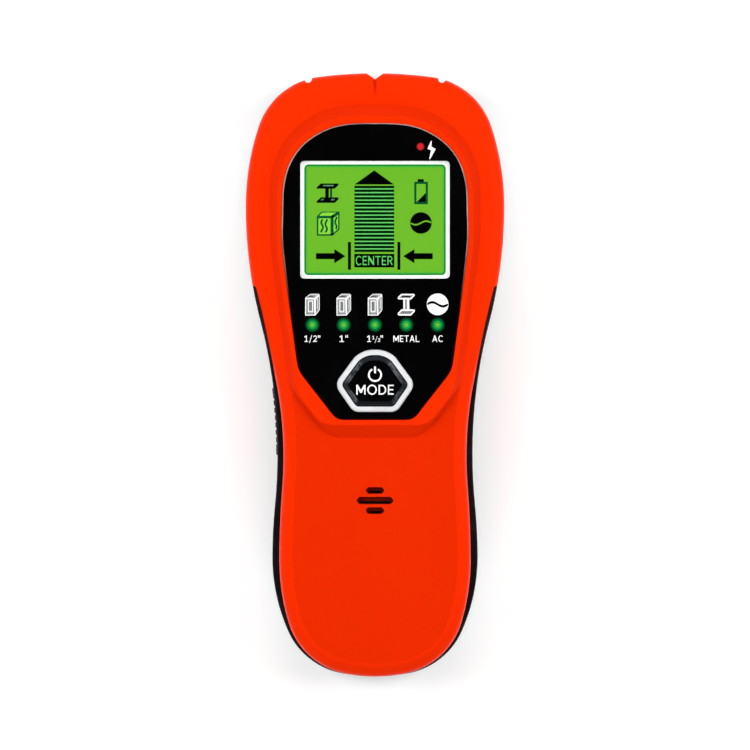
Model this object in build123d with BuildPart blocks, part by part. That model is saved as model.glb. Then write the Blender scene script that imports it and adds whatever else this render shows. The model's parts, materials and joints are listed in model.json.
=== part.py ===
from build123d import *
import os
from math import hypot, sqrt

# A hand-held stud finder, lying on its back. +X is its right side seen from the front, +Y runs from
# the handle to the sensing head, +Z points out of the front face. The origin is the middle of the
# length and width, on the surface that the glide pads rest on. All lengths are millimetres.

os.makedirs("parts", exist_ok=True)

# ---- driving dimensions ----------------------------------------------------------------------------

LENGTH = 165.0
HEAD_HALF_WIDTH = 35.35
HEAD_WIDEST_Y = 46.0
WAIST_HALF_WIDTH = 25.0
HANDLE_HALF_WIDTH = 26.15
WALL = 2.2

PAD_HEIGHT = 0.8                 # how far the glide pads stand off the back
PAD_RECESS = 0.4
BACK_Z = PAD_HEIGHT
PARTING_Z = 16.0
CROWN_Z = 31.0                   # highest line of the front surface, before the display island
CROWN_Y = 20.0
CROWN_RADIUS = 1100.0
EDGE_BEVEL = (3.0, 1.7)          # width and drop of the bevel around the front face
BEVEL_ROUNDING = 2.5
BACK_FILLET = 3.5
FIT = 0.15                       # clearance of parts that slide or drop into each other

ISLAND_Z = 32.4                  # rim of the raised display island
ISLAND_BASE_Z = 29.0
RECESS_Z = 30.9                  # floor that the faceplate is stuck to
FACEPLATE_Z = 32.3
FACEPLATE_CHAMFER = 0.25
ISLAND_ROUNDING = 0.4            # along the rim of the island

TONGUE_HEIGHT = 1.2              # alignment tongue of the rear shell
TONGUE_INSET = (1.6, WALL)
CAVITY_TOP_Y = 78.5              # the shells are solid beyond this, behind the sighting notches

BAND_Z = (6.0, 15.8)             # soft grip band around the handle
BAND_DEPTH = 0.8
BAND_PROUD = 1.95
BAND_TOP_Y = 24.4
BAND_ROUNDING = 0.6

# Heights that a cut through the whole front, the whole board, or the whole back runs between.
THROUGH_FRONT = (20.0, 40.0)
THROUGH_BACK = (0.0, 20.0)

LCD_Y = 42.4
LCD_WINDOW = (40.8, 32.1)
LCD_VIEW = (38.7, 30.3)
LCD_FRAME = (43.0, 34.4)
LCD_CAVITY = (41.2, 32.6)

LED_Y = 13.7
LED_PITCH = 8.55
WARNING_LED = (12.4, 62.4)

# The black faceplate: a domed head, sides that close in, two diagonals and a straight foot.
PANEL_HEAD = ((0, 68.8), (13.0, 67.2), (20.9, 61.7), (25.2, 50.8), (25.4, 45.3))
PANEL_HIP = (23.9, 23.0)
PANEL_FOOT_Y = -12.2
SIDE_SLOPE = 0.135
DIAGONAL_NORMAL = (0.788, 0.615)  # outward and downward parts of the direction a diagonal faces
DIAGONAL_REACH = 15.71           # from the origin to a diagonal, straight across it
KNEE_RADIUS = 8.0
HEEL_RADIUS = 3.9

MODE_RING = (20.6, 17.0)         # chrome ring, over all
MODE_RING_WIDTH = 1.45
MODE_RING_Z = 33.1
MODE_GAP = 0.3                   # between the ring and the cap
MODE_Y = -1.6
MODE_TOP_Z = 33.6
MODE_BEVEL = (1.15, 0.9)
MODE_FLANGE_Z = (26.9, 28.1)
MODE_PLUNGER_Z = 28.0            # where the cap's stem meets the switch plunger

SOUND_Y = -34.3
SOUND_SLOTS = ((2.76, 5.3, 1.8), (0.0, 10.3, 2.0), (-2.76, 5.3, 1.8))  # y from SOUND_Y, length, width
SOUND_FLOOR_Z = 28.15            # floor of each slot, open along its lower side
BUZZER_RADIUS = 8.5

SIDE_BUTTON_Y = -12.7
SIDE_BUTTON_LENGTH = 18.6
SIDE_BUTTON_Z = (9.2, 14.8)
SIDE_BUTTON_PROUD = 0.4
SIDE_PLUNGER_X = -21.5           # where the side button's stem meets the switch plunger
SIDE_SWITCH_X = (-20.1, -16.6)
SWITCH_SIZE = 6.0
SWITCH_HEIGHT = 3.5
PLUNGER_RADIUS = 1.75

BOARD_Z = (21.5, 23.1)
BOARD_Y = (-18.0, 70.0)
SENSOR_BOARD_Z = (5.0, 6.6)
SENSOR_BOARD_Y = 47.0
SENSOR_BOARD = (40.0, 48.0)

BATTERY = (26.5, 46.4, 17.5)     # the block of a nine volt battery, without its terminals
BATTERY_FOOT_Y = -74.6
BATTERY_Z = 3.2
BAY_HALF_WIDTH = 13.6
BAY_WALL = 1.3
BAY_Y = (-76.0, -21.0)

DOOR_HALF_WIDTH = 14.6
DOOR_Z = (BACK_Z, 2.8)
DOOR_TOP_Y = -24.0
TONGUE_X = 15.9                  # outer edge of the door's tongues
TONGUE_Z = (1.75, 2.65)

CASE_SCREWS = [(-19.4, -58.0), (19.4, -58.0), (-25.0, 65.0), (25.0, 65.0)]
CASE_BOSS_RADIUS = 3.3
BOARD_SCREWS = [(-26.4, 50.0), (26.4, 50.0), (-18.0, -8.0), (18.0, -8.0)]
SENSOR_SCREWS = [(-17.0, 26.0), (17.0, 26.0), (-17.0, 68.0), (17.0, 68.0)]

# Glide pads on the back: centre, then width and length.
PADS = [
    ((-19.6, -39.0), (4.0, 18.0)),
    ((19.6, -39.0), (4.0, 18.0)),
    ((-20.0, 56.5), (16.0, 6.0)),
    ((20.0, 56.5), (16.0, 6.0)),
]


# ---- outlines --------------------------------------------------------------------------------------
# An outline is a chain of tangent arcs down its right-hand side, each (centre x, centre y, radius).
# A hollow arc has a negative radius. Growing or shrinking an outline changes the radii alone.


def touching(first, last, radius):
    """The corner arc of this radius that touches two larger arcs from the inside."""
    reach_a = first[2] - radius
    reach_b = last[2] - radius
    gap = hypot(last[0] - first[0], last[1] - first[1])
    along = (gap**2 + reach_a**2 - reach_b**2) / (2 * gap)
    across = sqrt(reach_a**2 - along**2)
    ux = (last[0] - first[0]) / gap
    uy = (last[1] - first[1]) / gap
    return (first[0] + ux * along + uy * across, first[1] + uy * along - ux * across, radius)


def below(arc, edge_x, radius):
    """The arc of this radius that follows arc down the side and is upright where x is edge_x."""
    centre_x = edge_x - radius
    drop = sqrt((arc[2] - radius) ** 2 - (arc[0] - centre_x) ** 2)
    return (centre_x, arc[1] - drop, radius)


def side_arcs(waist_x, waist_radius, handle_x, handle_radius, heel_radius, end_radius, end_y):
    """The whole right-hand side: head, waist and handle."""
    top = (0.0, LENGTH / 2 - 120.0, 120.0)
    side = (HEAD_HALF_WIDTH - 70.0, HEAD_WIDEST_Y, 70.0)
    flank = (HEAD_HALF_WIDTH - 125.0, HEAD_WIDEST_Y, 125.0)
    waist = below(flank, waist_x, -waist_radius)
    handle = below(waist, handle_x, handle_radius)
    heel = (handle_x - heel_radius, handle[1], heel_radius)
    end = (0.0, end_y + end_radius, end_radius)
    shoulder = touching(top, side, 20.0)
    corner = touching(heel, end, 20.0)
    return [top, shoulder, side, flank, waist, handle, heel, corner, end]


SHELL = side_arcs(WAIST_HALF_WIDTH, 105.0, HANDLE_HALF_WIDTH, 243.0, 60.0, 40.0, -LENGTH / 2)
BAND = side_arcs(26.7, 143.0, HANDLE_HALF_WIDTH + BAND_PROUD, 143.0, 50.0, 50.0, -LENGTH / 2)


def arc_points(arcs, inset):
    """Start, middle and end point of each arc of the chain, moved inward by inset."""
    normals = [Vector(0, 1)]
    for upper, lower in zip(arcs, arcs[1:]):
        normals.append(Vector(upper[0] - lower[0], upper[1] - lower[1]) / (lower[2] - upper[2]))
    normals.append(Vector(0, -1))
    for arc, start, end in zip(arcs, normals, normals[1:]):
        centre = Vector(arc[0], arc[1])
        middle = (start + end).normalized()
        yield [centre + normal * (arc[2] - inset) for normal in (start, middle, end)]


def outline(arcs, inset=0.0):
    """The closed outline, moved inward by inset."""
    with BuildSketch() as plan:
        with BuildLine():
            for start, middle, end in arc_points(arcs, inset):
                ThreePointArc(start, middle, end)
            mirror(about=Plane.YZ)
        make_face()
    return plan.sketch


def display_outline(side, top, diagonal, foot):
    """Outline of the black faceplate, grown by these amounts on its different sides."""
    head, brow, temple, cheek, widest = PANEL_HEAD
    hip = (PANEL_HIP[0] + side, PANEL_HIP[1])
    across, down = DIAGONAL_NORMAL
    reach = DIAGONAL_REACH + diagonal
    knee_y = (across * (hip[0] - SIDE_SLOPE * hip[1]) - reach) / (down - across * SIDE_SLOPE)
    knee = (hip[0] - SIDE_SLOPE * (hip[1] - knee_y), knee_y)
    foot_y = PANEL_FOOT_Y - foot
    heel = ((reach + down * foot_y) / across, foot_y)
    with BuildSketch() as plan:
        with BuildLine():
            Spline(
                (head[0], head[1] + top),
                (brow[0] + side / 4, brow[1] + top),
                (temple[0] + side * 0.75, temple[1] + top * 0.7),
                (cheek[0] + side, cheek[1] + top / 4),
                (widest[0] + side, widest[1]),
                hip,
                tangents=((1, 0), (-SIDE_SLOPE, -1)),
            )
            Polyline(hip, knee, heel, (0, foot_y))
            mirror(about=Plane.YZ)
        make_face()
        for corner, radius in ((knee, KNEE_RADIUS + diagonal), (heel, HEEL_RADIUS + diagonal * 0.6)):
            corners = plan.vertices().filter_by(
                lambda vertex: abs(abs(vertex.X) - corner[0]) < 0.1 and abs(vertex.Y - corner[1]) < 0.1
            )
            fillet(corners, radius)
    return plan.sketch


def mode_outline(inset=0.0):
    """Outline of the mode button: domed top, sides that lean out and in again, flat foot."""
    top_y = MODE_RING[1] / 2
    shoulder = (5.7, top_y - 2.2)
    with BuildSketch() as plan:
        with BuildLine():
            ThreePointArc((0, top_y), (3.1, top_y - 0.5), shoulder)
            Polyline(shoulder, (MODE_RING[0] / 2 + 0.75, -1.0), (5.9, -top_y), (0, -top_y))
            mirror(about=Plane.YZ)
        make_face()
        corners = plan.vertices().filter_by(lambda corner: abs(corner.X) > 1)
        fillet(corners, 3.1)
        if inset:
            offset(amount=-inset)
    return plan.sketch.moved(Location((0, MODE_Y)))


def crown_face(drop=0.0):
    """Side view of everything under the crowned front surface, lowered by drop; in Plane.YZ."""
    with BuildSketch(Plane.YZ.offset(-50)) as side_view:
        with Locations((CROWN_Y, CROWN_Z - CROWN_RADIUS)):
            Circle(CROWN_RADIUS - drop)
        with Locations((0, 0)):
            Rectangle(200, 100, mode=Mode.INTERSECT)
    return side_view.sketch


def block(x, y, z, mode=Mode.ADD):
    """A box between pairs of coordinates, joined to the part being built by mode."""
    with Locations(((x[0] + x[1]) / 2, (y[0] + y[1]) / 2, (z[0] + z[1]) / 2)):
        Box(x[1] - x[0], y[1] - y[0], z[1] - z[0], mode=mode)


def rod(x, y, z, radius, mode=Mode.ADD):
    """An upright cylinder between two heights, joined to the part being built by mode."""
    with Locations((x, y, (z[0] + z[1]) / 2)):
        Cylinder(radius, z[1] - z[0], mode=mode)


def plate(face, z, mode=Mode.ADD):
    """A flat sketch given thickness between two heights, joined to the part being built by mode."""
    extrude(Plane.XY.offset(z[0]) * face, amount=z[1] - z[0], mode=mode)


def rounded(size, radius, centre=(0.0, 0.0)):
    """A rectangle with rounded corners."""
    with BuildSketch() as plan:
        with Locations(centre):
            RectangleRounded(*size, radius)
    return plan.sketch


def sound_slot(rise, length, width):
    """A slot with blunt pointed ends, this far above the middle of the sound slots."""
    tip = length / 2
    corner = tip - width * 0.42
    with BuildSketch() as plan:
        with BuildLine():
            Polyline((0, width / 2), (corner, width / 2), (tip, 0), (corner, -width / 2), (0, -width / 2))
            mirror(about=Plane.YZ)
        make_face()
        fillet(plan.vertices().filter_by(lambda vertex: abs(vertex.X) > 1), 0.45)
    return plan.sketch.moved(Location((0, SOUND_Y + rise)))


def side_opening(mode):
    """The opening in the left flank that the side button moves in."""
    reach = SIDE_BUTTON_LENGTH / 2 + 0.2
    span = (SIDE_BUTTON_Y - reach, SIDE_BUTTON_Y + reach)
    block((-40, -20), span, (SIDE_BUTTON_Z[0] - 0.2, SIDE_BUTTON_Z[1] + 0.2), mode=mode)


def frame_block(outer, inner, z, mode=Mode.ADD):
    """A rectangular wall around the battery bay, (half width, low y, high y) outside and inside."""
    with BuildSketch() as plan:
        with Locations((0, (outer[1] + outer[2]) / 2)):
            Rectangle(outer[0] * 2, outer[2] - outer[1])
        with Locations((0, (inner[1] + inner[2]) / 2)):
            Rectangle(inner[0] * 2, inner[2] - inner[1], mode=Mode.SUBTRACT)
    plate(plan.sketch, z, mode=mode)


# ---- housing ---------------------------------------------------------------------------------------

# One closed block with the shape of the sighting notches and the groove that runs down from the
# middle one, taken off both shells.
with BuildPart() as sighting_notches:
    with BuildSketch():
        with BuildLine():
            Polyline((-2.5, 82.6), (0, 80.8), (2.5, 82.6), (2.5, 84), (-2.5, 84), (-2.5, 82.6))
        make_face()
        with Locations((-18.3, 81.0), (18.3, 81.0)):
            Ellipse(1.05, 1.15)
    extrude(amount=50)
    with BuildSketch(Plane.YZ.offset(-0.4)):
        with BuildLine():
            Polyline((76.4, 30.0), (76.4, 29.5), (79.5, 28.5), (83.0, 26.4), (83.0, 30.0), (76.4, 30.0))
        make_face()
    extrude(amount=0.8)

# The space inside the front shell, shaped around the bosses, posts and ribs that stand in it.
with BuildPart() as front_space:
    plate(outline(SHELL, WALL), (PARTING_Z, 40.0))
    extrude(crown_face(WALL), amount=100, mode=Mode.INTERSECT)
    plate(outline(SHELL, TONGUE_INSET[0] - 0.1), (PARTING_Z, PARTING_Z + TONGUE_HEIGHT + 0.2))
    block((-50, 50), (CAVITY_TOP_Y, 100), (0, 50), mode=Mode.SUBTRACT)
    for x, y in CASE_SCREWS:
        rod(x, y, (PARTING_Z, 40.0), 3.0, mode=Mode.SUBTRACT)
    for x, y in BOARD_SCREWS:
        rod(x, y, (BOARD_Z[1], 40.0), 2.2, mode=Mode.SUBTRACT)
    for side in (-1, 1):
        rib = sorted((side * BAY_HALF_WIDTH, side * (BAY_HALF_WIDTH + BAY_WALL)))
        block(rib, BAY_Y, (PARTING_Z, 40.0), mode=Mode.SUBTRACT)
    with BuildSketch(Plane.XY.offset(23.5)):
        with Locations((0, SOUND_Y)):
            Circle(BUZZER_RADIUS + 1.3)
            Circle(BUZZER_RADIUS + 0.3, mode=Mode.SUBTRACT)
    extrude(amount=10, mode=Mode.SUBTRACT)

# The waist of the front shell is set back a little, so that the grip band shows beside it.
with BuildPart() as waist_relief:
    with BuildSketch(Plane.XY.offset(PARTING_Z - 1)):
        with BuildLine():
            relief = ThreePointArc((32.5, 24.0), (29.45, 11.0), (26.9, -3.0))
            Polyline(relief @ 1, (45, -3.0), (45, 25.4), (33.9, 24.9), relief @ 0)
        make_face()
        mirror(about=Plane.YZ)
    extrude(amount=25)

with BuildPart() as front_shell:
    plate(outline(SHELL), (PARTING_Z, 40.0))
    extrude(crown_face(), amount=100, mode=Mode.INTERSECT)
    front_face = front_shell.faces().sort_by(Axis.Z)[-1]
    chamfer(front_face.edges(), *EDGE_BEVEL, reference=front_face)
    bevel_foot = front_shell.edges().filter_by(lambda edge: edge.length > 4 and 23 < edge.center().Z < 28)
    fillet(bevel_foot.filter_by(lambda edge: abs((edge % 0.5).Z) < 0.5), BEVEL_ROUNDING)
    add(waist_relief.part, mode=Mode.SUBTRACT)
    with BuildSketch(Plane.XY.offset(ISLAND_BASE_Z)):
        add(display_outline(5.6, 6.0, 5.2, 7.5))
    with BuildSketch(Plane.XY.offset(ISLAND_Z)):
        add(display_outline(1.4, 2.0, 4.2, 1.4))
    loft()
    island_face = front_shell.faces().sort_by(Axis.Z)[-1]
    fillet(island_face.edges(), ISLAND_ROUNDING)
    add(front_space.part, mode=Mode.SUBTRACT)
    add(sighting_notches.part, mode=Mode.SUBTRACT)
    plate(display_outline(0.1, 0.1, 0.1, 0.1), (RECESS_Z, 40.0), mode=Mode.SUBTRACT)
    display_opening = rounded((LCD_FRAME[0] + 0.3, LCD_FRAME[1] + 0.3), 1.2, (0, LCD_Y))
    plate(display_opening, THROUGH_FRONT, mode=Mode.SUBTRACT)
    plate(mode_outline(MODE_RING_WIDTH), THROUGH_FRONT, mode=Mode.SUBTRACT)
    for step in range(-2, 3):
        rod(step * LED_PITCH, LED_Y, THROUGH_FRONT, 1.3, mode=Mode.SUBTRACT)
    rod(*WARNING_LED, THROUGH_FRONT, 1.3, mode=Mode.SUBTRACT)
    for x, y in CASE_SCREWS:
        rod(x, y, (PARTING_Z, 22.0), 1.3, mode=Mode.SUBTRACT)
    for x, y in BOARD_SCREWS:
        rod(x, y, (BOARD_Z[1], 27.5), 0.95, mode=Mode.SUBTRACT)
    for rise, length, width in SOUND_SLOTS:
        plate(sound_slot(rise, length, width), (SOUND_FLOOR_Z, THROUGH_FRONT[1]), mode=Mode.SUBTRACT)
        slit_y = SOUND_Y + rise - width / 2 + 0.5
        reach = length / 2 - 1.0
        block((-reach, reach), (slit_y - 0.35, slit_y + 0.35), THROUGH_FRONT, mode=Mode.SUBTRACT)
front_shell.part.label = "front_shell"
export_step(front_shell.part, "parts/front_shell.step")

# Outer form of the rear half, shared by the rear shell and the battery door that closes it.
with BuildPart() as rear_form:
    plate(outline(SHELL), (BACK_Z, PARTING_Z))
    back_face = rear_form.faces().sort_by(Axis.Z)[0]
    fillet(back_face.edges(), BACK_FILLET)

# The space inside the rear shell, shaped around the battery bay, bosses and posts.
with BuildPart() as rear_space:
    plate(outline(SHELL, WALL), (BACK_Z + WALL, PARTING_Z + 5))
    block((-50, 50), (CAVITY_TOP_Y, 100), (0, 50), mode=Mode.SUBTRACT)
    bay_outside = (BAY_HALF_WIDTH + BAY_WALL, BAY_Y[0] - BAY_WALL, BAY_Y[1] + BAY_WALL)
    bay_inside = (BAY_HALF_WIDTH, BAY_Y[0], BAY_Y[1])
    frame_block(bay_outside, bay_inside, (0.0, PARTING_Z), mode=Mode.SUBTRACT)
    block((-17.4, 17.4), (-90, BAY_Y[1] + BAY_WALL), (0.0, 4.2), mode=Mode.SUBTRACT)
    block((-BAY_HALF_WIDTH, BAY_HALF_WIDTH), BAY_Y, (2.9, PARTING_Z))
    for x, y in CASE_SCREWS:
        rod(x, y, (0.0, PARTING_Z), CASE_BOSS_RADIUS, mode=Mode.SUBTRACT)
    for x, y in SENSOR_SCREWS:
        rod(x, y, (0.0, SENSOR_BOARD_Z[0]), 2.4, mode=Mode.SUBTRACT)
    for y in (-18.5, -6.9):
        block((-18.2, -13.8), (y - 1.2, y + 1.2), (0.0, 8.0), mode=Mode.SUBTRACT)

with BuildPart() as rear_shell:
    add(rear_form.part)
    plate(outline(SHELL, TONGUE_INSET[0]), (PARTING_Z, PARTING_Z + TONGUE_HEIGHT))
    block((-50, 50), (CAVITY_TOP_Y - 0.1, 100), (PARTING_Z, 50), mode=Mode.SUBTRACT)
    add(rear_space.part, mode=Mode.SUBTRACT)
    add(sighting_notches.part, mode=Mode.SUBTRACT)
    with BuildSketch(Plane.XY.offset(BAND_Z[0])):
        add(outline(SHELL, -5))
        add(outline(SHELL, BAND_DEPTH), mode=Mode.SUBTRACT)
        with Locations((0, 60 + BAND_TOP_Y)):
            Rectangle(120, 120, mode=Mode.SUBTRACT)
    extrude(amount=BAND_Z[1] - BAND_Z[0], mode=Mode.SUBTRACT)
    block((-14.75, 14.75), (-90, DOOR_TOP_Y + FIT), (0.0, 2.95), mode=Mode.SUBTRACT)
    block((-TONGUE_X - FIT, TONGUE_X + FIT), (-90, DOOR_TOP_Y + FIT), (1.6, 2.8), mode=Mode.SUBTRACT)
    block((-8.5, 8.5), (BAY_Y[1] - 1, BAY_Y[1] + 3), (9.0, PARTING_Z), mode=Mode.SUBTRACT)
    block((-17.0, -15.3), (-19.1, -6.3), (4.5, 20.0), mode=Mode.SUBTRACT)
    side_opening(Mode.SUBTRACT)
    for x, y in CASE_SCREWS:
        rod(x, y, (0.0, 7.5), 2.5, mode=Mode.SUBTRACT)
        rod(x, y, (7.5, PARTING_Z), 1.45, mode=Mode.SUBTRACT)
    for x, y in SENSOR_SCREWS:
        rod(x, y, (3.4, SENSOR_BOARD_Z[0]), 0.95, mode=Mode.SUBTRACT)
    for centre, (width, length) in PADS:
        pocket = rounded((width + 0.2, length + 0.2), 1.0, centre)
        plate(pocket, (0.0, BACK_Z + PAD_RECESS), mode=Mode.SUBTRACT)
rear_shell.part.label = "rear_shell"
export_step(rear_shell.part, "parts/rear_shell.step")

# Soft band moulded around the handle, in a groove of the rear shell, open at the side button.
with BuildPart() as grip_band:
    plate(outline(BAND), BAND_Z)
    fillet(grip_band.faces().filter_by(Axis.Z).edges(), BAND_ROUNDING)
    plate(outline(SHELL, BAND_DEPTH), BAND_Z, mode=Mode.SUBTRACT)
    block((-60, 60), (BAND_TOP_Y, 100), BAND_Z, mode=Mode.SUBTRACT)
    side_opening(Mode.SUBTRACT)
grip_band.part.label = "grip_band"
export_step(grip_band.part, "parts/grip_band.step")

# Battery door: a flat cover that slides off towards the foot, its edges running in two grooves.
with BuildPart() as battery_door:
    add(rear_form.part)
    block((-DOOR_HALF_WIDTH, DOOR_HALF_WIDTH), (-90, DOOR_TOP_Y), DOOR_Z, mode=Mode.INTERSECT)
    with BuildSketch(Plane.XY.offset(TONGUE_Z[0])):
        add(outline(SHELL, 1.2))
        with Locations((0, DOOR_TOP_Y - 50)):
            Rectangle(TONGUE_X * 2, 100, mode=Mode.INTERSECT)
    extrude(amount=TONGUE_Z[1] - TONGUE_Z[0])
    for row in range(6):
        block((-8.0, 8.0), (-70.0 + row * 2.4, -69.0 + row * 2.4), (0.0, BACK_Z + 0.5), mode=Mode.SUBTRACT)
battery_door.part.label = "battery_door"
export_step(battery_door.part, "parts/battery_door.step")

# Four slippery pads in shallow pockets of the back.
for number, (centre, size) in enumerate(PADS, start=1):
    with BuildPart() as glide_pad:
        plate(rounded(size, 0.9, centre), (0.0, BACK_Z + PAD_RECESS))
        pad_foot = glide_pad.faces().sort_by(Axis.Z)[0]
        fillet(pad_foot.edges(), 0.3)
    glide_pad.part.label = f"glide_pad_{number}"
    export_step(glide_pad.part, f"parts/glide_pad_{number}.step")

with BuildPart() as case_screws:
    for x, y in CASE_SCREWS:
        rod(x, y, (5.9, 7.5), 2.3)
        rod(x, y, (7.5, 21.0), 1.25)
        for turn in (0, 90):
            with Locations(Location((x, y, 6.2), (0, 0, turn))):
                Box(2.6, 0.6, 0.8, mode=Mode.SUBTRACT)
case_screws.part.label = "case_screws"
export_step(case_screws.part, "parts/case_screws.step")


# ---- display panel ---------------------------------------------------------------------------------

with BuildPart() as faceplate:
    plate(display_outline(0.0, 0.0, 0.0, 0.0), (RECESS_Z, FACEPLATE_Z))
    panel_face = faceplate.faces().sort_by(Axis.Z)[-1]
    chamfer(panel_face.edges(), FACEPLATE_CHAMFER)
    plate(rounded(LCD_WINDOW, 1.05, (0, LCD_Y)), THROUGH_FRONT, mode=Mode.SUBTRACT)
    plate(mode_outline(-0.05), THROUGH_FRONT, mode=Mode.SUBTRACT)
    for step in range(-2, 3):
        rod(step * LED_PITCH, LED_Y, THROUGH_FRONT, 1.0, mode=Mode.SUBTRACT)
    rod(*WARNING_LED, THROUGH_FRONT, 1.0, mode=Mode.SUBTRACT)
faceplate.part.label = "faceplate"
export_step(faceplate.part, "parts/faceplate.step")

with BuildPart() as window_lens:
    pane = rounded((LCD_WINDOW[0] - 0.1, LCD_WINDOW[1] - 0.1), 1.0, (0, LCD_Y))
    plate(pane, (RECESS_Z, FACEPLATE_Z - 0.1))
window_lens.part.label = "window_lens"
export_step(window_lens.part, "parts/window_lens.step")

# White frame that holds the display on the main board. Its rim shows around the picture.
with BuildPart() as lcd_frame:
    plate(rounded(LCD_FRAME, 1.1, (0, LCD_Y)), (BOARD_Z[1], RECESS_Z))
    plate(rounded(LCD_CAVITY, 0.4, (0, LCD_Y)), (20.0, 30.2), mode=Mode.SUBTRACT)
    plate(rounded(LCD_VIEW, 1.2, (0, LCD_Y)), THROUGH_FRONT, mode=Mode.SUBTRACT)
lcd_frame.part.label = "lcd_frame"
export_step(lcd_frame.part, "parts/lcd_frame.step")

with BuildPart() as lcd_polariser:
    plate(rounded((39.6, 31.2), 0.5, (0, LCD_Y)), (30.0, 30.2))
lcd_polariser.part.label = "lcd_polariser"
export_step(lcd_polariser.part, "parts/lcd_polariser.step")

with BuildPart() as lcd_glass_front:
    plate(rounded((41.0, 32.4), 0.3, (0, LCD_Y)), (29.0, 30.0))
lcd_glass_front.part.label = "lcd_glass_front"
export_step(lcd_glass_front.part, "parts/lcd_glass_front.step")

with BuildPart() as lcd_glass_rear:
    plate(rounded((41.0, 28.8), 0.3, (0, LCD_Y)), (28.0, 29.0))
lcd_glass_rear.part.label = "lcd_glass_rear"
export_step(lcd_glass_rear.part, "parts/lcd_glass_rear.step")

with BuildPart() as backlight_guide:
    plate(rounded((37.6, 28.0), 0.5, (0, LCD_Y)), (25.4, 28.0))
backlight_guide.part.label = "backlight_guide"
export_step(backlight_guide.part, "parts/backlight_guide.step")

with BuildPart() as backlight_reflector:
    plate(rounded((37.6, 28.0), 0.5, (0, LCD_Y)), (25.1, 25.4))
    for x in (-14.0, 14.0):
        rod(x, LCD_Y, (BOARD_Z[1], 25.1), 1.5)
backlight_reflector.part.label = "backlight_reflector"
export_step(backlight_reflector.part, "parts/backlight_reflector.step")

with BuildPart() as backlight_leds:
    for side in (-1, 1):
        block(sorted((side * 18.9, side * 20.2)), (LCD_Y - 2.0, LCD_Y + 2.0), (BOARD_Z[1], 27.6))
backlight_leds.part.label = "backlight_leds"
export_step(backlight_leds.part, "parts/backlight_leds.step")

# Striped rubber connectors squeezed between the board and the ledges of the front glass.
with BuildPart() as zebra_strip_upper:
    block((-19.0, 19.0), (LCD_Y + 14.6, LCD_Y + 16.0), (BOARD_Z[1], 29.0))
zebra_strip_upper.part.label = "zebra_strip_upper"
export_step(zebra_strip_upper.part, "parts/zebra_strip_upper.step")

with BuildPart() as zebra_strip_lower:
    block((-19.0, 19.0), (LCD_Y - 16.0, LCD_Y - 14.6), (BOARD_Z[1], 29.0))
zebra_strip_lower.part.label = "zebra_strip_lower"
export_step(zebra_strip_lower.part, "parts/zebra_strip_lower.step")

with BuildPart() as light_pipe_strip:
    block((-19.0, 19.0), (LED_Y - 1.5, LED_Y + 1.5), (26.6, 28.0))
    for step in range(-2, 3):
        rod(step * LED_PITCH, LED_Y, (25.2, FACEPLATE_Z), 0.95)
light_pipe_strip.part.label = "light_pipe_strip"
export_step(light_pipe_strip.part, "parts/light_pipe_strip.step")

with BuildPart() as warning_light_pipe:
    rod(*WARNING_LED, (26.6, 27.4), 1.7)
    rod(*WARNING_LED, (25.2, FACEPLATE_Z), 0.95)
warning_light_pipe.part.label = "warning_light_pipe"
export_step(warning_light_pipe.part, "parts/warning_light_pipe.step")


# ---- mode button -----------------------------------------------------------------------------------

with BuildPart() as mode_button_ring:
    plate(mode_outline(0.0), (RECESS_Z, MODE_RING_Z))
    ring_face = mode_button_ring.faces().sort_by(Axis.Z)[-1]
    fillet(ring_face.edges(), 0.6)
    plate(mode_outline(MODE_RING_WIDTH), THROUGH_FRONT, mode=Mode.SUBTRACT)
mode_button_ring.part.label = "mode_button_ring"
export_step(mode_button_ring.part, "parts/mode_button_ring.step")

# Hollow cap with a flange that stops it under the front shell, and a stem down to the switch.
with BuildPart() as mode_button:
    plate(mode_outline(MODE_RING_WIDTH + MODE_GAP), (MODE_FLANGE_Z[0], MODE_TOP_Z))
    cap_face = mode_button.faces().sort_by(Axis.Z)[-1]
    chamfer(cap_face.edges(), *MODE_BEVEL, reference=cap_face)
    plate(mode_outline(0.5), MODE_FLANGE_Z)
    plate(mode_outline(3.2), (20.0, 31.9), mode=Mode.SUBTRACT)
    rod(0, MODE_Y, (MODE_PLUNGER_Z, 32.2), 1.9)
mode_button.part.label = "mode_button"
export_step(mode_button.part, "parts/mode_button.step")

with BuildPart() as mode_switch_body:
    plate(rounded((SWITCH_SIZE, SWITCH_SIZE), 0.4, (0, MODE_Y)), (BOARD_Z[1], BOARD_Z[1] + SWITCH_HEIGHT))
    rod(0, MODE_Y, (24.4, 40.0), PLUNGER_RADIUS + 0.1, mode=Mode.SUBTRACT)
mode_switch_body.part.label = "mode_switch_body"
export_step(mode_switch_body.part, "parts/mode_switch_body.step")

with BuildPart() as mode_switch_plunger:
    rod(0, MODE_Y, (25.4, MODE_PLUNGER_Z), PLUNGER_RADIUS)
mode_switch_plunger.part.label = "mode_switch_plunger"
export_step(mode_switch_plunger.part, "parts/mode_switch_plunger.step")


# ---- side button -----------------------------------------------------------------------------------

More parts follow.
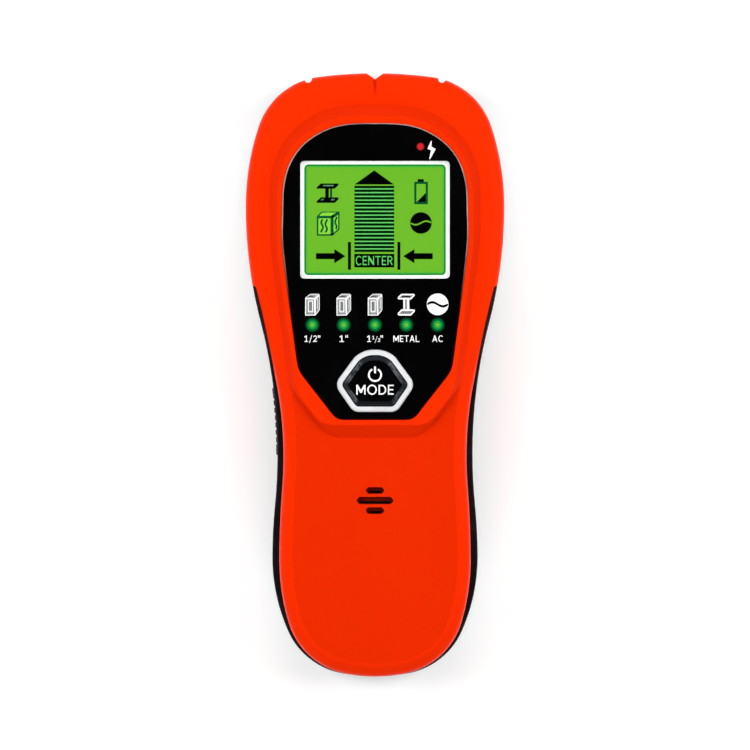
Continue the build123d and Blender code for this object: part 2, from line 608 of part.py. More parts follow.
with BuildPart() as side_button:
    with BuildSketch(Plane.XY.offset(SIDE_BUTTON_Z[0])):
        add(outline(BAND, -SIDE_BUTTON_PROUD))
        add(outline(SHELL, WALL + 0.3), mode=Mode.SUBTRACT)
        with Locations((-30, SIDE_BUTTON_Y)):
            Rectangle(30, SIDE_BUTTON_LENGTH, mode=Mode.INTERSECT)
    extrude(amount=SIDE_BUTTON_Z[1] - SIDE_BUTTON_Z[0])
    face_edges = side_button.faces().sort_by(Axis.X)[0].edges()
    fillet(face_edges, 0.6)
    with BuildSketch(Plane.XY.offset(SIDE_BUTTON_Z[0] - 0.9)):
        add(outline(SHELL, WALL + 0.3))
        add(outline(SHELL, WALL + 1.3), mode=Mode.SUBTRACT)
        with Locations((-30, SIDE_BUTTON_Y)):
            Rectangle(30, SIDE_BUTTON_LENGTH + 2.2, mode=Mode.INTERSECT)
    extrude(amount=SIDE_BUTTON_Z[1] - SIDE_BUTTON_Z[0] + 1.6)
    block((-22.6, SIDE_PLUNGER_X), (SIDE_BUTTON_Y - 1.6, SIDE_BUTTON_Y + 1.6), (10.4, 13.6))
    for row in range(-3, 4):
        y = SIDE_BUTTON_Y + row * 2.0
        with BuildSketch(Plane.XY):
            add(outline(BAND, -5))
            add(outline(BAND, 0.25 - SIDE_BUTTON_PROUD), mode=Mode.SUBTRACT)
            with Locations((-30, y)):
                Rectangle(30, 0.6, mode=Mode.INTERSECT)
        extrude(amount=20, mode=Mode.SUBTRACT)
side_button.part.label = "side_button"
export_step(side_button.part, "parts/side_button.step")

with BuildPart() as side_switch_board:
    block((-16.6, -15.4), (-19.0, -6.4), (4.6, 19.0))
side_switch_board.part.label = "side_switch_board"
export_step(side_switch_board.part, "parts/side_switch_board.step")

with BuildPart() as side_switch_body:
    block(SIDE_SWITCH_X, (SIDE_BUTTON_Y - 3.0, SIDE_BUTTON_Y + 3.0), (9.0, 15.0))
    with Locations(Location((-20.0, SIDE_BUTTON_Y, 12.0), (0, 90, 0))):
        Cylinder(PLUNGER_RADIUS + 0.1, 4.8, mode=Mode.SUBTRACT)
side_switch_body.part.label = "side_switch_body"
export_step(side_switch_body.part, "parts/side_switch_body.step")

with BuildPart() as side_switch_plunger:
    with Locations(Location(((SIDE_PLUNGER_X - 18.7) / 2, SIDE_BUTTON_Y, 12.0), (0, 90, 0))):
        Cylinder(PLUNGER_RADIUS, -18.7 - SIDE_PLUNGER_X)
side_switch_plunger.part.label = "side_switch_plunger"
export_step(side_switch_plunger.part, "parts/side_switch_plunger.step")


# ---- main board and what is soldered to it ---------------------------------------------------------

with BuildPart() as main_board:
    with BuildSketch(Plane.XY.offset(BOARD_Z[0])):
        add(outline(SHELL, 4.6))
        with Locations((0, sum(BOARD_Y) / 2)):
            Rectangle(100, BOARD_Y[1] - BOARD_Y[0], mode=Mode.INTERSECT)
        with Locations(*CASE_SCREWS[2:]):
            Circle(3.9, mode=Mode.SUBTRACT)
        with Locations(*BOARD_SCREWS):
            Circle(1.1, mode=Mode.SUBTRACT)
    extrude(amount=BOARD_Z[1] - BOARD_Z[0])
main_board.part.label = "main_board"
export_step(main_board.part, "parts/main_board.step")

with BuildPart() as board_screws:
    for x, y in BOARD_SCREWS:
        rod(x, y, (20.2, BOARD_Z[0]), 1.9)
        rod(x, y, (BOARD_Z[0], 26.8), 0.9)
board_screws.part.label = "board_screws"
export_step(board_screws.part, "parts/board_screws.step")

with BuildPart() as mode_leds:
    for step in range(-2, 3):
        x = step * LED_PITCH
        block((x - 1.6, x + 1.6), (LED_Y - 1.4, LED_Y + 1.4), (BOARD_Z[1], 25.0))
mode_leds.part.label = "mode_leds"
export_step(mode_leds.part, "parts/mode_leds.step")

with BuildPart() as warning_led:
    x, y = WARNING_LED
    block((x - 1.4, x + 1.4), (y - 0.9, y + 0.9), (BOARD_Z[1], 25.0))
warning_led.part.label = "warning_led"
export_step(warning_led.part, "parts/warning_led.step")

# Each chip hangs under the main board: centre x, centre y, size, height.
MICROCONTROLLER = (14.0, 44.0, 12.0, 1.6)
DISPLAY_DRIVER = (-14.0, 44.0, 10.0, 1.4)

with BuildPart() as microcontroller:
    x, y, size, height = MICROCONTROLLER
    block((x - size / 2, x + size / 2), (y - size / 2, y + size / 2), (BOARD_Z[0] - height, BOARD_Z[0]))
    chamfer(microcontroller.faces().sort_by(Axis.Z)[0].edges(), 0.3)
microcontroller.part.label = "microcontroller"
export_step(microcontroller.part, "parts/microcontroller.step")

with BuildPart() as display_driver:
    x, y, size, height = DISPLAY_DRIVER
    block((x - size / 2, x + size / 2), (y - size / 2, y + size / 2), (BOARD_Z[0] - height, BOARD_Z[0]))
    chamfer(display_driver.faces().sort_by(Axis.Z)[0].edges(), 0.3)
display_driver.part.label = "display_driver"
export_step(display_driver.part, "parts/display_driver.step")

with BuildPart() as chip_pins:
    for x, y, size, height in (MICROCONTROLLER, DISPLAY_DRIVER):
        count = int(size)
        for turn in range(4):
            with Locations(Location((x, y, BOARD_Z[0]), (0, 0, turn * 90))):
                with GridLocations(1, 0.8, 1, count):
                    with Locations((size / 2 + 0.55, 0, -0.3)):
                        Box(1.1, 0.35, 0.6)
chip_pins.part.label = "chip_pins"
export_step(chip_pins.part, "parts/chip_pins.step")

with BuildPart() as crystal:
    plate(rounded((4.6, 11.0), 2.2, (0, 46.0)), (BOARD_Z[0] - 3.4, BOARD_Z[0]))
crystal.part.label = "crystal"
export_step(crystal.part, "parts/crystal.step")

with BuildPart() as electrolytic_capacitors:
    for x in (-8.0, 8.0):
        rod(x, 8.0, (14.2, BOARD_Z[0]), 3.15)
electrolytic_capacitors.part.label = "electrolytic_capacitors"
export_step(electrolytic_capacitors.part, "parts/electrolytic_capacitors.step")

with BuildPart() as voltage_regulator:
    block((-3.3, 3.3), (6.2, 9.8), (BOARD_Z[0] - 1.8, BOARD_Z[0]))
voltage_regulator.part.label = "voltage_regulator"
export_step(voltage_regulator.part, "parts/voltage_regulator.step")

with BuildPart() as chip_resistors:
    for centre in ((0, 60.0), (14.0, 17.0), (-14.0, 17.0)):
        with Locations((*centre, BOARD_Z[0] - 0.3)):
            with GridLocations(3.0, 2.4, 5, 3):
                Box(1.6, 0.8, 0.6)
chip_resistors.part.label = "chip_resistors"
export_step(chip_resistors.part, "parts/chip_resistors.step")

HEADER_Y = 28.5
with BuildPart() as header_socket:
    block((-10.0, 10.0), (HEADER_Y - 1.3, HEADER_Y + 1.3), (13.0, BOARD_Z[0]))
    block((-8.6, 8.6), (HEADER_Y - 0.5, HEADER_Y + 0.5), (12.0, 20.0), mode=Mode.SUBTRACT)
header_socket.part.label = "header_socket"
export_step(header_socket.part, "parts/header_socket.step")


# ---- sensor board ----------------------------------------------------------------------------------

with BuildPart() as sensor_board:
    plate(rounded(SENSOR_BOARD, 2.0, (0, SENSOR_BOARD_Y)), SENSOR_BOARD_Z)
    for x, y in SENSOR_SCREWS:
        rod(x, y, THROUGH_BACK, 1.1, mode=Mode.SUBTRACT)
sensor_board.part.label = "sensor_board"
export_step(sensor_board.part, "parts/sensor_board.step")

with BuildPart() as sensor_board_screws:
    for x, y in SENSOR_SCREWS:
        rod(x, y, (SENSOR_BOARD_Z[1], 7.8), 1.9)
        rod(x, y, (3.6, SENSOR_BOARD_Z[1]), 0.9)
sensor_board_screws.part.label = "sensor_board_screws"
export_step(sensor_board_screws.part, "parts/sensor_board_screws.step")

# Copper plates on the wall side, whose capacitance changes over a stud.
with BuildPart() as sensor_plates:
    with Locations((0, 48.0, SENSOR_BOARD_Z[0] - 0.15)):
        with GridLocations(12.0, 1, 3, 1):
            Box(9.0, 34.0, 0.3)
sensor_plates.part.label = "sensor_plates"
export_step(sensor_plates.part, "parts/sensor_plates.step")

COIL_Y = 50.0
with BuildPart() as coil_bobbin:
    rod(0, COIL_Y, (SENSOR_BOARD_Z[1], 11.6), 16.0)
    with BuildSketch(Plane.XY.offset(7.4)):
        with Locations((0, COIL_Y)):
            Circle(20)
            Circle(13, mode=Mode.SUBTRACT)
    extrude(amount=3.4, mode=Mode.SUBTRACT)
    rod(0, COIL_Y, THROUGH_BACK, 12.2, mode=Mode.SUBTRACT)
coil_bobbin.part.label = "coil_bobbin"
export_step(coil_bobbin.part, "parts/coil_bobbin.step")

with BuildPart() as coil_winding:
    rod(0, COIL_Y, (7.4, 10.8), 15.6)
    rod(0, COIL_Y, THROUGH_BACK, 13.0, mode=Mode.SUBTRACT)
coil_winding.part.label = "coil_winding"
export_step(coil_winding.part, "parts/coil_winding.step")

with BuildPart() as signal_amplifier:
    block((-2.5, 2.5), (COIL_Y - 2.0, COIL_Y + 2.0), (SENSOR_BOARD_Z[1], 8.2))
signal_amplifier.part.label = "signal_amplifier"
export_step(signal_amplifier.part, "parts/signal_amplifier.step")

with BuildPart() as header_base:
    block((-9.0, 9.0), (HEADER_Y - 1.25, HEADER_Y + 1.25), (SENSOR_BOARD_Z[1], 9.1))
header_base.part.label = "header_base"
export_step(header_base.part, "parts/header_base.step")

with BuildPart() as header_pins:
    with Locations((0, HEADER_Y, (9.1 + 18.5) / 2)):
        with GridLocations(2.54, 1, 7, 1):
            Box(0.64, 0.64, 18.5 - 9.1)
header_pins.part.label = "header_pins"
export_step(header_pins.part, "parts/header_pins.step")


# ---- buzzer ----------------------------------------------------------------------------------------

with BuildPart() as buzzer_body:
    rod(0, SOUND_Y, (22.5, 26.2), BUZZER_RADIUS)
    rod(0, SOUND_Y, (25.6, 40.0), 1.2, mode=Mode.SUBTRACT)
buzzer_body.part.label = "buzzer_body"
export_step(buzzer_body.part, "parts/buzzer_body.step")

with BuildPart() as buzzer_gasket:
    rod(0, SOUND_Y, (26.2, 26.95), BUZZER_RADIUS - 0.2)
    rod(0, SOUND_Y, THROUGH_FRONT, 6.2, mode=Mode.SUBTRACT)
buzzer_gasket.part.label = "buzzer_gasket"
export_step(buzzer_gasket.part, "parts/buzzer_gasket.step")


# ---- battery ---------------------------------------------------------------------------------------

BATTERY_TOP_Y = BATTERY_FOOT_Y + BATTERY[1]
BATTERY_MIDDLE_Z = BATTERY_Z + BATTERY[2] / 2
END_LIP = 1.2
JACKET = 0.4
TERMINAL_X = 6.35

with BuildPart() as battery_jacket:
    with BuildSketch(Plane.XZ.offset(-BATTERY_TOP_Y)):
        with Locations((0, BATTERY_MIDDLE_Z)):
            RectangleRounded(BATTERY[0], BATTERY[2], 2.0)
    extrude(amount=BATTERY[1])
    with BuildSketch(Plane.XZ.offset(-BATTERY_TOP_Y + JACKET)):
        with Locations((0, BATTERY_MIDDLE_Z)):
            RectangleRounded(BATTERY[0] - JACKET * 2, BATTERY[2] - JACKET * 2, 1.6)
    extrude(amount=BATTERY[1] - JACKET * 2, mode=Mode.SUBTRACT)
    with BuildSketch(Plane.XZ.offset(-BATTERY_TOP_Y)):
        with Locations((0, BATTERY_MIDDLE_Z)):
            RectangleRounded(BATTERY[0] - END_LIP * 2, BATTERY[2] - END_LIP * 2, 1.0)
    extrude(amount=BATTERY[1], mode=Mode.SUBTRACT)
battery_jacket.part.label = "battery_jacket"
export_step(battery_jacket.part, "parts/battery_jacket.step")

with BuildPart() as battery_end_plates:
    for end_y in (BATTERY_TOP_Y - JACKET, BATTERY_FOOT_Y + JACKET + 1.0):
        with BuildSketch(Plane.XZ.offset(-end_y)):
            with Locations((0, BATTERY_MIDDLE_Z)):
                RectangleRounded(BATTERY[0] - 1.0, BATTERY[2] - 1.0, 1.5)
        extrude(amount=1.0)
battery_end_plates.part.label = "battery_end_plates"
export_step(battery_end_plates.part, "parts/battery_end_plates.step")

with BuildPart() as battery_cells:
    with BuildSketch(Plane.XZ.offset(-BATTERY_TOP_Y + 2.4)):
        with Locations((0, BATTERY_MIDDLE_Z)):
            with GridLocations(8.4, 8.3, 3, 2):
                Circle(4.05)
    extrude(amount=BATTERY[1] - 4.8)
battery_cells.part.label = "battery_cells"
export_step(battery_cells.part, "parts/battery_cells.step")

with BuildPart() as battery_terminals:
    with BuildSketch(Plane.XZ.offset(-BATTERY_TOP_Y + JACKET)):
        with Locations((-TERMINAL_X, BATTERY_MIDDLE_Z)):
            Circle(2.9)
        with Locations((TERMINAL_X, BATTERY_MIDDLE_Z)):
            RegularPolygon(4.2, 6)
    extrude(amount=-2.4)
    with Locations(Location((TERMINAL_X, BATTERY_TOP_Y + 2.0, BATTERY_MIDDLE_Z), (90, 0, 0))):
        Cylinder(2.9, 3.0, mode=Mode.SUBTRACT)
battery_terminals.part.label = "battery_terminals"
export_step(battery_terminals.part, "parts/battery_terminals.step")

# Snap connector that clips on both terminals.
CONNECTOR_Y = (BATTERY_TOP_Y + 0.1, -23.5)
with BuildPart() as snap_connector:
    with BuildSketch(Plane.XZ.offset(-CONNECTOR_Y[0])):
        with Locations((0, BATTERY_MIDDLE_Z)):
            RectangleRounded(25.0, 12.0, 2.0)
    extrude(amount=CONNECTOR_Y[0] - CONNECTOR_Y[1])
    with BuildSketch(Plane.XZ.offset(-CONNECTOR_Y[0])):
        with Locations((-TERMINAL_X, BATTERY_MIDDLE_Z)):
            Circle(3.0)
        with Locations((TERMINAL_X, BATTERY_MIDDLE_Z)):
            Circle(4.4)
    extrude(amount=-2.4, mode=Mode.SUBTRACT)
snap_connector.part.label = "snap_connector"
export_step(snap_connector.part, "parts/snap_connector.step")

# The two leads rise from the snap connector to the underside of the main board.
LEAD_RADIUS = 0.75
for side, name in ((1, "lead_red"), (-1, "lead_black")):
    route = [
        (side * 6.3, CONNECTOR_Y[1], 12.0),
        (side * 6.3, -15.5, 12.0),
        (side * 9.0, -11.5, 15.5),
        (side * 9.0, -11.5, BOARD_Z[0]),
    ]
    with BuildPart() as lead:
        with BuildLine():
            path = FilletPolyline(*route, radius=2.2)
        with BuildSketch(Plane(origin=path @ 0, z_dir=path % 0)):
            Circle(LEAD_RADIUS)
        sweep()
    lead.part.label = name
    export_step(lead.part, f"parts/{name}.step")
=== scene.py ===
import json
from math import cos, hypot, pi, radians, sin, sqrt

import bpy
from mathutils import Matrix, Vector


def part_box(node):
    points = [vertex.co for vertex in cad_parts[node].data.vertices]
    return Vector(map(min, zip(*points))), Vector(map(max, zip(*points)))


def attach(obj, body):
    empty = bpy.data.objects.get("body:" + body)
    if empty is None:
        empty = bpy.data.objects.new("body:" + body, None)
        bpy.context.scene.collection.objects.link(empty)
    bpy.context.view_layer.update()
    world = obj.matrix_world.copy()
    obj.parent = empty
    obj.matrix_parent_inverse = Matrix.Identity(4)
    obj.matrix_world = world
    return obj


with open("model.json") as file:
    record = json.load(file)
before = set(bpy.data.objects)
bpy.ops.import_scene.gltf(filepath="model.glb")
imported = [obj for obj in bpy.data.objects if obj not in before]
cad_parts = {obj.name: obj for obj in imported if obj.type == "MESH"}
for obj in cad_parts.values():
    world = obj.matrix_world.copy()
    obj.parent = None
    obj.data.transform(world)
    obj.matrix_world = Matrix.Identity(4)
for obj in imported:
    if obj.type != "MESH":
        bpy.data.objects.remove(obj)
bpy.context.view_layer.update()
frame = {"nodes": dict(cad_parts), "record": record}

MM = 0.001

# ---- places, most taken from the frame, the rest given in millimetres ------------------------------


def centre(node):
    """Middle of a CAD node's box, in metres."""
    low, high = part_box(node)
    return [(a + b) / 2 for a, b in zip(low, high)]


def top(node):
    """Highest z of a CAD node, in metres."""
    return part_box(node)[1][2]


PANEL_TOP = top("faceplate")
DISPLAY_TOP = top("lcd_polariser")
KEY_TOP = top("mode_button")
DISPLAY = centre("lcd_frame")
LAMPS = centre("light_pipe_strip")
LED_LENGTH = 3.2 * MM        # of one of the five lamps, along their row
LAMP_PITCH = (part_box("mode_leds")[1][0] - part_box("mode_leds")[0][0] - LED_LENGTH) / 4
WARNING = centre("warning_led")
KEY = centre("mode_button")
BATTERY = centre("battery_jacket")
COIL = centre("coil_winding")
SOUND_Y = centre("buzzer_body")[1]
SOUND_REACH = 6 * MM         # how far the sound slots reach from their middle
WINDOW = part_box("window_lens")

# The display's green field, whose corners are rounded.
VIEW_WIDTH = 38.7 * MM
VIEW_HEIGHT = 30.3 * MM
VIEW_CORNER = 1.2 * MM

# The crowned front surface of the front shell is an arc about an axis across the object.
CROWN_TOP = 31.0 * MM
CROWN_MIDDLE_Y = 20.0 * MM
CROWN_RADIUS = 1100.0 * MM


# ---- materials -------------------------------------------------------------------------------------


class Finish:
    """A material under construction: one Principled shader and the nodes that feed it."""

    def __init__(self, name):
        self.material = bpy.data.materials.new(name)
        self.material.use_nodes = True
        self.tree = self.material.node_tree
        self.shader = self.tree.nodes["Principled BSDF"]
        self.output = self.tree.nodes["Material Output"]
        self.where = self.add("ShaderNodeTexCoord")
        self.place = self.where.outputs["Object"]

    def add(self, kind, **settings):
        node = self.tree.nodes.new(kind)
        for key, value in settings.items():
            setattr(node, key, value)
        return node

    def join(self, source, socket):
        """Links an output to a socket, or sets the socket where source is a plain value."""
        if isinstance(source, bpy.types.NodeSocket):
            self.tree.links.new(source, socket)
        else:
            socket.default_value = source

    def set(self, **values):
        """Sets the shader's own sockets, such as specular_ior_level=0.3."""
        for key, value in values.items():
            name = {"ior": "IOR", "specular_ior_level": "Specular IOR Level"}.get(key)
            name = name or key.replace("_", " ").title()
            self.join(value, self.shader.inputs[name])

    def math(self, operation, first, second=0.0, clamp=False):
        node = self.add("ShaderNodeMath", operation=operation, use_clamp=clamp)
        for socket, value in zip(node.inputs, (first, second)):
            self.join(value, socket)
        return node.outputs[0]

    def axes(self, place=None):
        """The x, y and z of a point."""
        node = self.add("ShaderNodeSeparateXYZ")
        self.join(self.place if place is None else place, node.inputs[0])
        return node.outputs

    def stretched(self, scale):
        """Object coordinates scaled unevenly, for brushed or moulded flow lines."""
        node = self.add("ShaderNodeMapping")
        node.inputs["Scale"].default_value = scale
        self.join(self.place, node.inputs["Vector"])
        return node.outputs[0]

    def noise(self, grain, detail=3.0, roughness=0.55, place=None):
        """Noise from 0 to 1 with features of this size in metres."""
        node = self.add("ShaderNodeTexNoise")
        node.inputs["Scale"].default_value = 1.0 / grain
        node.inputs["Detail"].default_value = detail
        node.inputs["Roughness"].default_value = roughness
        self.join(self.place if place is None else place, node.inputs["Vector"])
        return node.outputs["Fac"]

    def cells(self, grain):
        """Distance from the middle of the nearest cell, with cells of this size in metres."""
        node = self.add("ShaderNodeTexVoronoi", feature="F1")
        node.inputs["Scale"].default_value = 1.0 / grain
        self.join(self.place, node.inputs["Vector"])
        return node.outputs["Distance"]

    def ramp(self, value, low, high, start=0.0, end=1.0):
        """value from low..high turned smoothly into start..end."""
        node = self.add("ShaderNodeMapRange", interpolation_type="SMOOTHSTEP")
        for socket, number in zip(node.inputs, (value, low, high, start, end)):
            self.join(number, socket)
        return node.outputs[0]

    def blend(self, factor, first, second):
        """A colour between two colours."""
        node = self.add("ShaderNodeMix", data_type="RGBA")
        self.join(factor, node.inputs["Factor"])
        for socket, colour in zip((node.inputs[6], node.inputs[7]), (first, second)):
            self.join(colour if isinstance(colour, bpy.types.NodeSocket) else (*colour, 1.0), socket)
        return node.outputs[2]

    def bump(self, height, depth, strength=1.0):
        """Relief of this depth in metres; a second call adds to the first."""
        node = self.add("ShaderNodeBump")
        node.inputs["Strength"].default_value = strength
        node.inputs["Distance"].default_value = depth
        self.join(height, node.inputs["Height"])
        if self.shader.inputs["Normal"].is_linked:
            self.join(self.shader.inputs["Normal"].links[0].from_socket, node.inputs["Normal"])
        self.join(node.outputs[0], self.shader.inputs["Normal"])


def shade(colour, factor):
    return tuple(channel * factor for channel in colour)


def orange_plastic():
    """Satin orange moulding: fine texture on the handle and round the display island, smooth rims, and
    painted shade in the sound slots.
    """
    f = Finish("orange_plastic")
    x, y, z = f.axes()
    from_middle = f.math("SUBTRACT", y, CROWN_MIDDLE_Y)
    sag = f.math("DIVIDE", f.math("MULTIPLY", from_middle, from_middle), 2 * CROWN_RADIUS)
    above_crown = f.math("ADD", f.math("SUBTRACT", z, CROWN_TOP), sag)
    upright = f.axes(f.where.outputs["Normal"])[2]
    on_island = f.ramp(above_crown, 0.02 * MM, 0.12 * MM)
    sloping = f.ramp(upright, 0.985, 0.93)
    near_crown = f.ramp(above_crown, -0.16 * MM, -0.04 * MM)
    on_crown = f.math("MULTIPLY", near_crown, f.ramp(upright, 0.985, 0.996))
    on_handle = f.math("MULTIPLY", on_crown, f.ramp(y, 4.0 * MM, -2.0 * MM))
    on_handle = f.math("MULTIPLY", on_handle, f.math("SUBTRACT", 1.0, on_island))
    textured = f.math("MAXIMUM", f.math("MULTIPLY", on_island, sloping), on_handle, clamp=True)
    smooth_colour = (0.80, 0.0245, 0.0006)
    textured_colour = (0.70, 0.0215, 0.0006)
    cloud = f.ramp(f.noise(22 * MM, 4.0), 0.3, 0.7)
    speckle = f.ramp(f.noise(0.35 * MM, 2.0), 0.35, 0.65)
    rough_part = f.blend(f.math("MULTIPLY", speckle, 0.5), textured_colour, shade(textured_colour, 0.9))
    base = f.blend(textured, smooth_colour, rough_part)
    base = f.blend(f.math("MULTIPLY", cloud, 0.3), base, (0.75, 0.0225, 0.0006))
    # Painted shade: round the sound slots, the colour goes nearly to black-red as the surface sinks below
    # the crown into the slots.
    from_slots = f.math("ABSOLUTE", f.math("SUBTRACT", y, SOUND_Y))
    from_slots = f.math("MAXIMUM", from_slots, f.math("ABSOLUTE", x))
    beside_slots = f.math("LESS_THAN", from_slots, SOUND_REACH)
    painted_slot_shade = f.math("MULTIPLY", beside_slots, f.ramp(above_crown, -0.25 * MM, -1.0 * MM))
    base = f.blend(f.math("MULTIPLY", painted_slot_shade, 0.93), base, (0.10, 0.0055, 0.0006))
    f.set(base_color=base, specular_ior_level=0.11, specular_tint=(1.0, 0.12, 0.03, 1.0))
    worn = f.ramp(f.noise(4 * MM, 5.0, 0.7), 0.3, 0.75, -0.03, 0.05)
    f.set(roughness=f.math("ADD", f.ramp(textured, 0.0, 1.0, 0.36, 0.52), worn))
    grain = f.math("MULTIPLY", f.noise(0.3 * MM, 3.0, 0.6), f.ramp(textured, 0.0, 1.0, 0.15, 1.0))
    f.bump(grain, 0.035 * MM, 0.55)
    f.bump(f.noise(11 * MM, 2.0), 0.06 * MM, 0.25)
    return f.material


def black_plastic():
    """Black back shell and door: coarse spark texture, paler where it is rubbed."""
    f = Finish("black_plastic")
    rubbed = f.ramp(f.noise(14 * MM, 6.0, 0.7), 0.45, 0.75)
    base = f.blend(rubbed, (0.0135, 0.014, 0.015), (0.024, 0.025, 0.0265))
    f.set(base_color=base, specular_ior_level=0.35)
    f.set(roughness=f.ramp(f.noise(3 * MM, 4.0, 0.7), 0.3, 0.7, 0.46, 0.62))
    f.bump(f.cells(0.42 * MM), 0.05 * MM, 0.5)
    f.bump(f.noise(0.16 * MM, 2.0), 0.02 * MM, 0.4)
    return f.material


def grip_rubber():
    """Soft band: nearly smooth rubber with a faint bloom."""
    f = Finish("grip_rubber")
    bloom = f.ramp(f.noise(9 * MM, 5.0, 0.65), 0.4, 0.72)
    f.set(base_color=f.blend(bloom, (0.004, 0.0055, 0.006), (0.0095, 0.0115, 0.012)))
    f.set(roughness=f.ramp(f.noise(2.2 * MM, 4.0), 0.3, 0.7, 0.42, 0.6), specular_ior_level=0.14)
    f.bump(f.noise(0.24 * MM, 3.0), 0.025 * MM, 0.5)
    return f.material


def radial(f, x, y):
    """Distance from an upright axis."""
    axes = f.axes()
    dx = f.math("SUBTRACT", axes[0], x)
    dy = f.math("SUBTRACT", axes[1], y)
    return f.math("SQRT", f.math("ADD", f.math("MULTIPLY", dx, dx), f.math("MULTIPLY", dy, dy)))


def lamp_distance(f):
    """Distance from the nearest of the five lamps in the row; a metre more beyond its ends."""
    x, y = f.axes()[:2]
    half_row = LAMP_PITCH * 2.5
    along = f.math("MODULO", f.math("ADD", x, half_row), LAMP_PITCH)
    dx = f.math("SUBTRACT", along, LAMP_PITCH / 2)
    dy = f.math("SUBTRACT", y, LAMPS[1])
    squared = f.math("ADD", f.math("MULTIPLY", dx, dx), f.math("MULTIPLY", dy, dy))
    beyond_row = f.math("SUBTRACT", 1.0, f.math("LESS_THAN", f.math("ABSOLUTE", x), half_row))
    return f.math("ADD", f.math("SQRT", squared), beyond_row)


def lamp_colours(f):
    """Glow of the green lamps and the red one, as a colour that is black elsewhere."""
    green = lamp_distance(f)
    halo = f.ramp(green, 2.15 * MM, 0.95 * MM)
    body = f.blend(f.ramp(green, 1.5 * MM, 0.5 * MM), (0.001, 0.22, 0.055), (0.010, 0.42, 0.04))
    body = f.blend(f.ramp(green, 0.8 * MM, 0.0), body, (0.22, 0.54, 0.035))
    lit = f.blend(halo, (0.0, 0.0, 0.0), body)
    red = radial(f, *WARNING[:2])
    red_halo = f.ramp(red, 1.18 * MM, 0.72 * MM)
    red_body = f.blend(f.ramp(red, 0.3 * MM, 0.9 * MM), (0.84, 0.008, 0.01), (0.50, 0.012, 0.022))
    return f.blend(red_halo, lit, red_body)


def panel_black():
    """Gloss black faceplate, lit from behind round each lamp, with a painted highlight on the sloping edge
    round its head.
    """
    f = Finish("panel_black")
    smear = f.ramp(f.noise(16 * MM, 5.0, 0.7), 0.45, 0.75)
    deep = f.blend(smear, (0.0008, 0.0008, 0.0009), (0.0018, 0.0018, 0.002))
    x, y = f.axes()[:2]
    sloping = f.ramp(f.axes(f.where.outputs["Normal"])[2], 0.95, 0.78)
    # Painted highlight: sloping edge faces outside the window and away from the red lamp get a pale pink
    # colour, stronger towards the head end and broken up by noise.
    head_end = f.ramp(y, LAMPS[1] + 2 * MM, LAMPS[1] + 34 * MM, 0.0, 0.8)
    highlight_gaps = f.ramp(f.noise(6 * MM, 4.0), 0.3, 0.6, 0.55, 1.0)
    margin = 0.5 * MM
    beside = f.math("GREATER_THAN", f.math("ABSOLUTE", x), WINDOW[1][0] + margin)
    beyond = f.math("GREATER_THAN", y, WINDOW[1][1] + margin)
    off_lamp = f.math("GREATER_THAN", radial(f, *WARNING[:2]), 1.6 * MM)
    outer = f.math("MULTIPLY", f.math("MAXIMUM", beside, beyond), off_lamp)
    painted_edge_highlight = f.math("MULTIPLY", f.math("MULTIPLY", sloping, outer), f.math("MULTIPLY", head_end, highlight_gaps))
    f.set(base_color=f.blend(painted_edge_highlight, deep, (0.80, 0.62, 0.58)))
    f.set(roughness=f.ramp(smear, 0.0, 1.0, 0.05, 0.1), specular_ior_level=0.3)
    f.set(emission_color=lamp_colours(f), emission_strength=1.0)
    f.bump(f.noise(26 * MM, 1.0), 0.02 * MM, 0.2)
    return f.material


def lamp_pipe():
    """Clear light pipe, glowing where the lamp shines through its tip."""
    f = Finish("light_guide")
    milk = f.ramp(f.noise(0.5 * MM, 3.0), 0.3, 0.7)
    z = f.axes()[2]
    clear = f.blend(milk, (0.50, 0.56, 0.52), (0.64, 0.68, 0.64))
    smoked = f.blend(milk, (0.004, 0.006, 0.005), (0.007, 0.009, 0.008))
    tip = f.ramp(z, PANEL_TOP - 2.0 * MM, PANEL_TOP - 0.4 * MM)
    f.set(base_color=f.blend(tip, clear, smoked), roughness=0.3, specular_ior_level=0.06)
    f.set(emission_color=lamp_colours(f), emission_strength=1.0)
    f.bump(f.noise(1.2 * MM, 1.0), 0.004 * MM, 0.2)
    return f.material


def chrome_trim():
    """Satin bright ring with the faint drag marks of its polish."""
    f = Finish("chrome_trim")
    drag = f.noise(0.5 * MM, 2.0, 0.5, f.stretched((0.25, 1.0, 1.0)))
    haze = f.noise(5 * MM, 4.0)
    f.set(base_color=f.blend(f.ramp(haze, 0.35, 0.7), (0.88, 0.885, 0.89), (0.79, 0.80, 0.815)))
    f.set(metallic=0.2, roughness=f.ramp(drag, 0.3, 0.7, 0.28, 0.32), specular_ior_level=0.6)
    f.bump(drag, 0.001 * MM, 0.15)
    return f.material


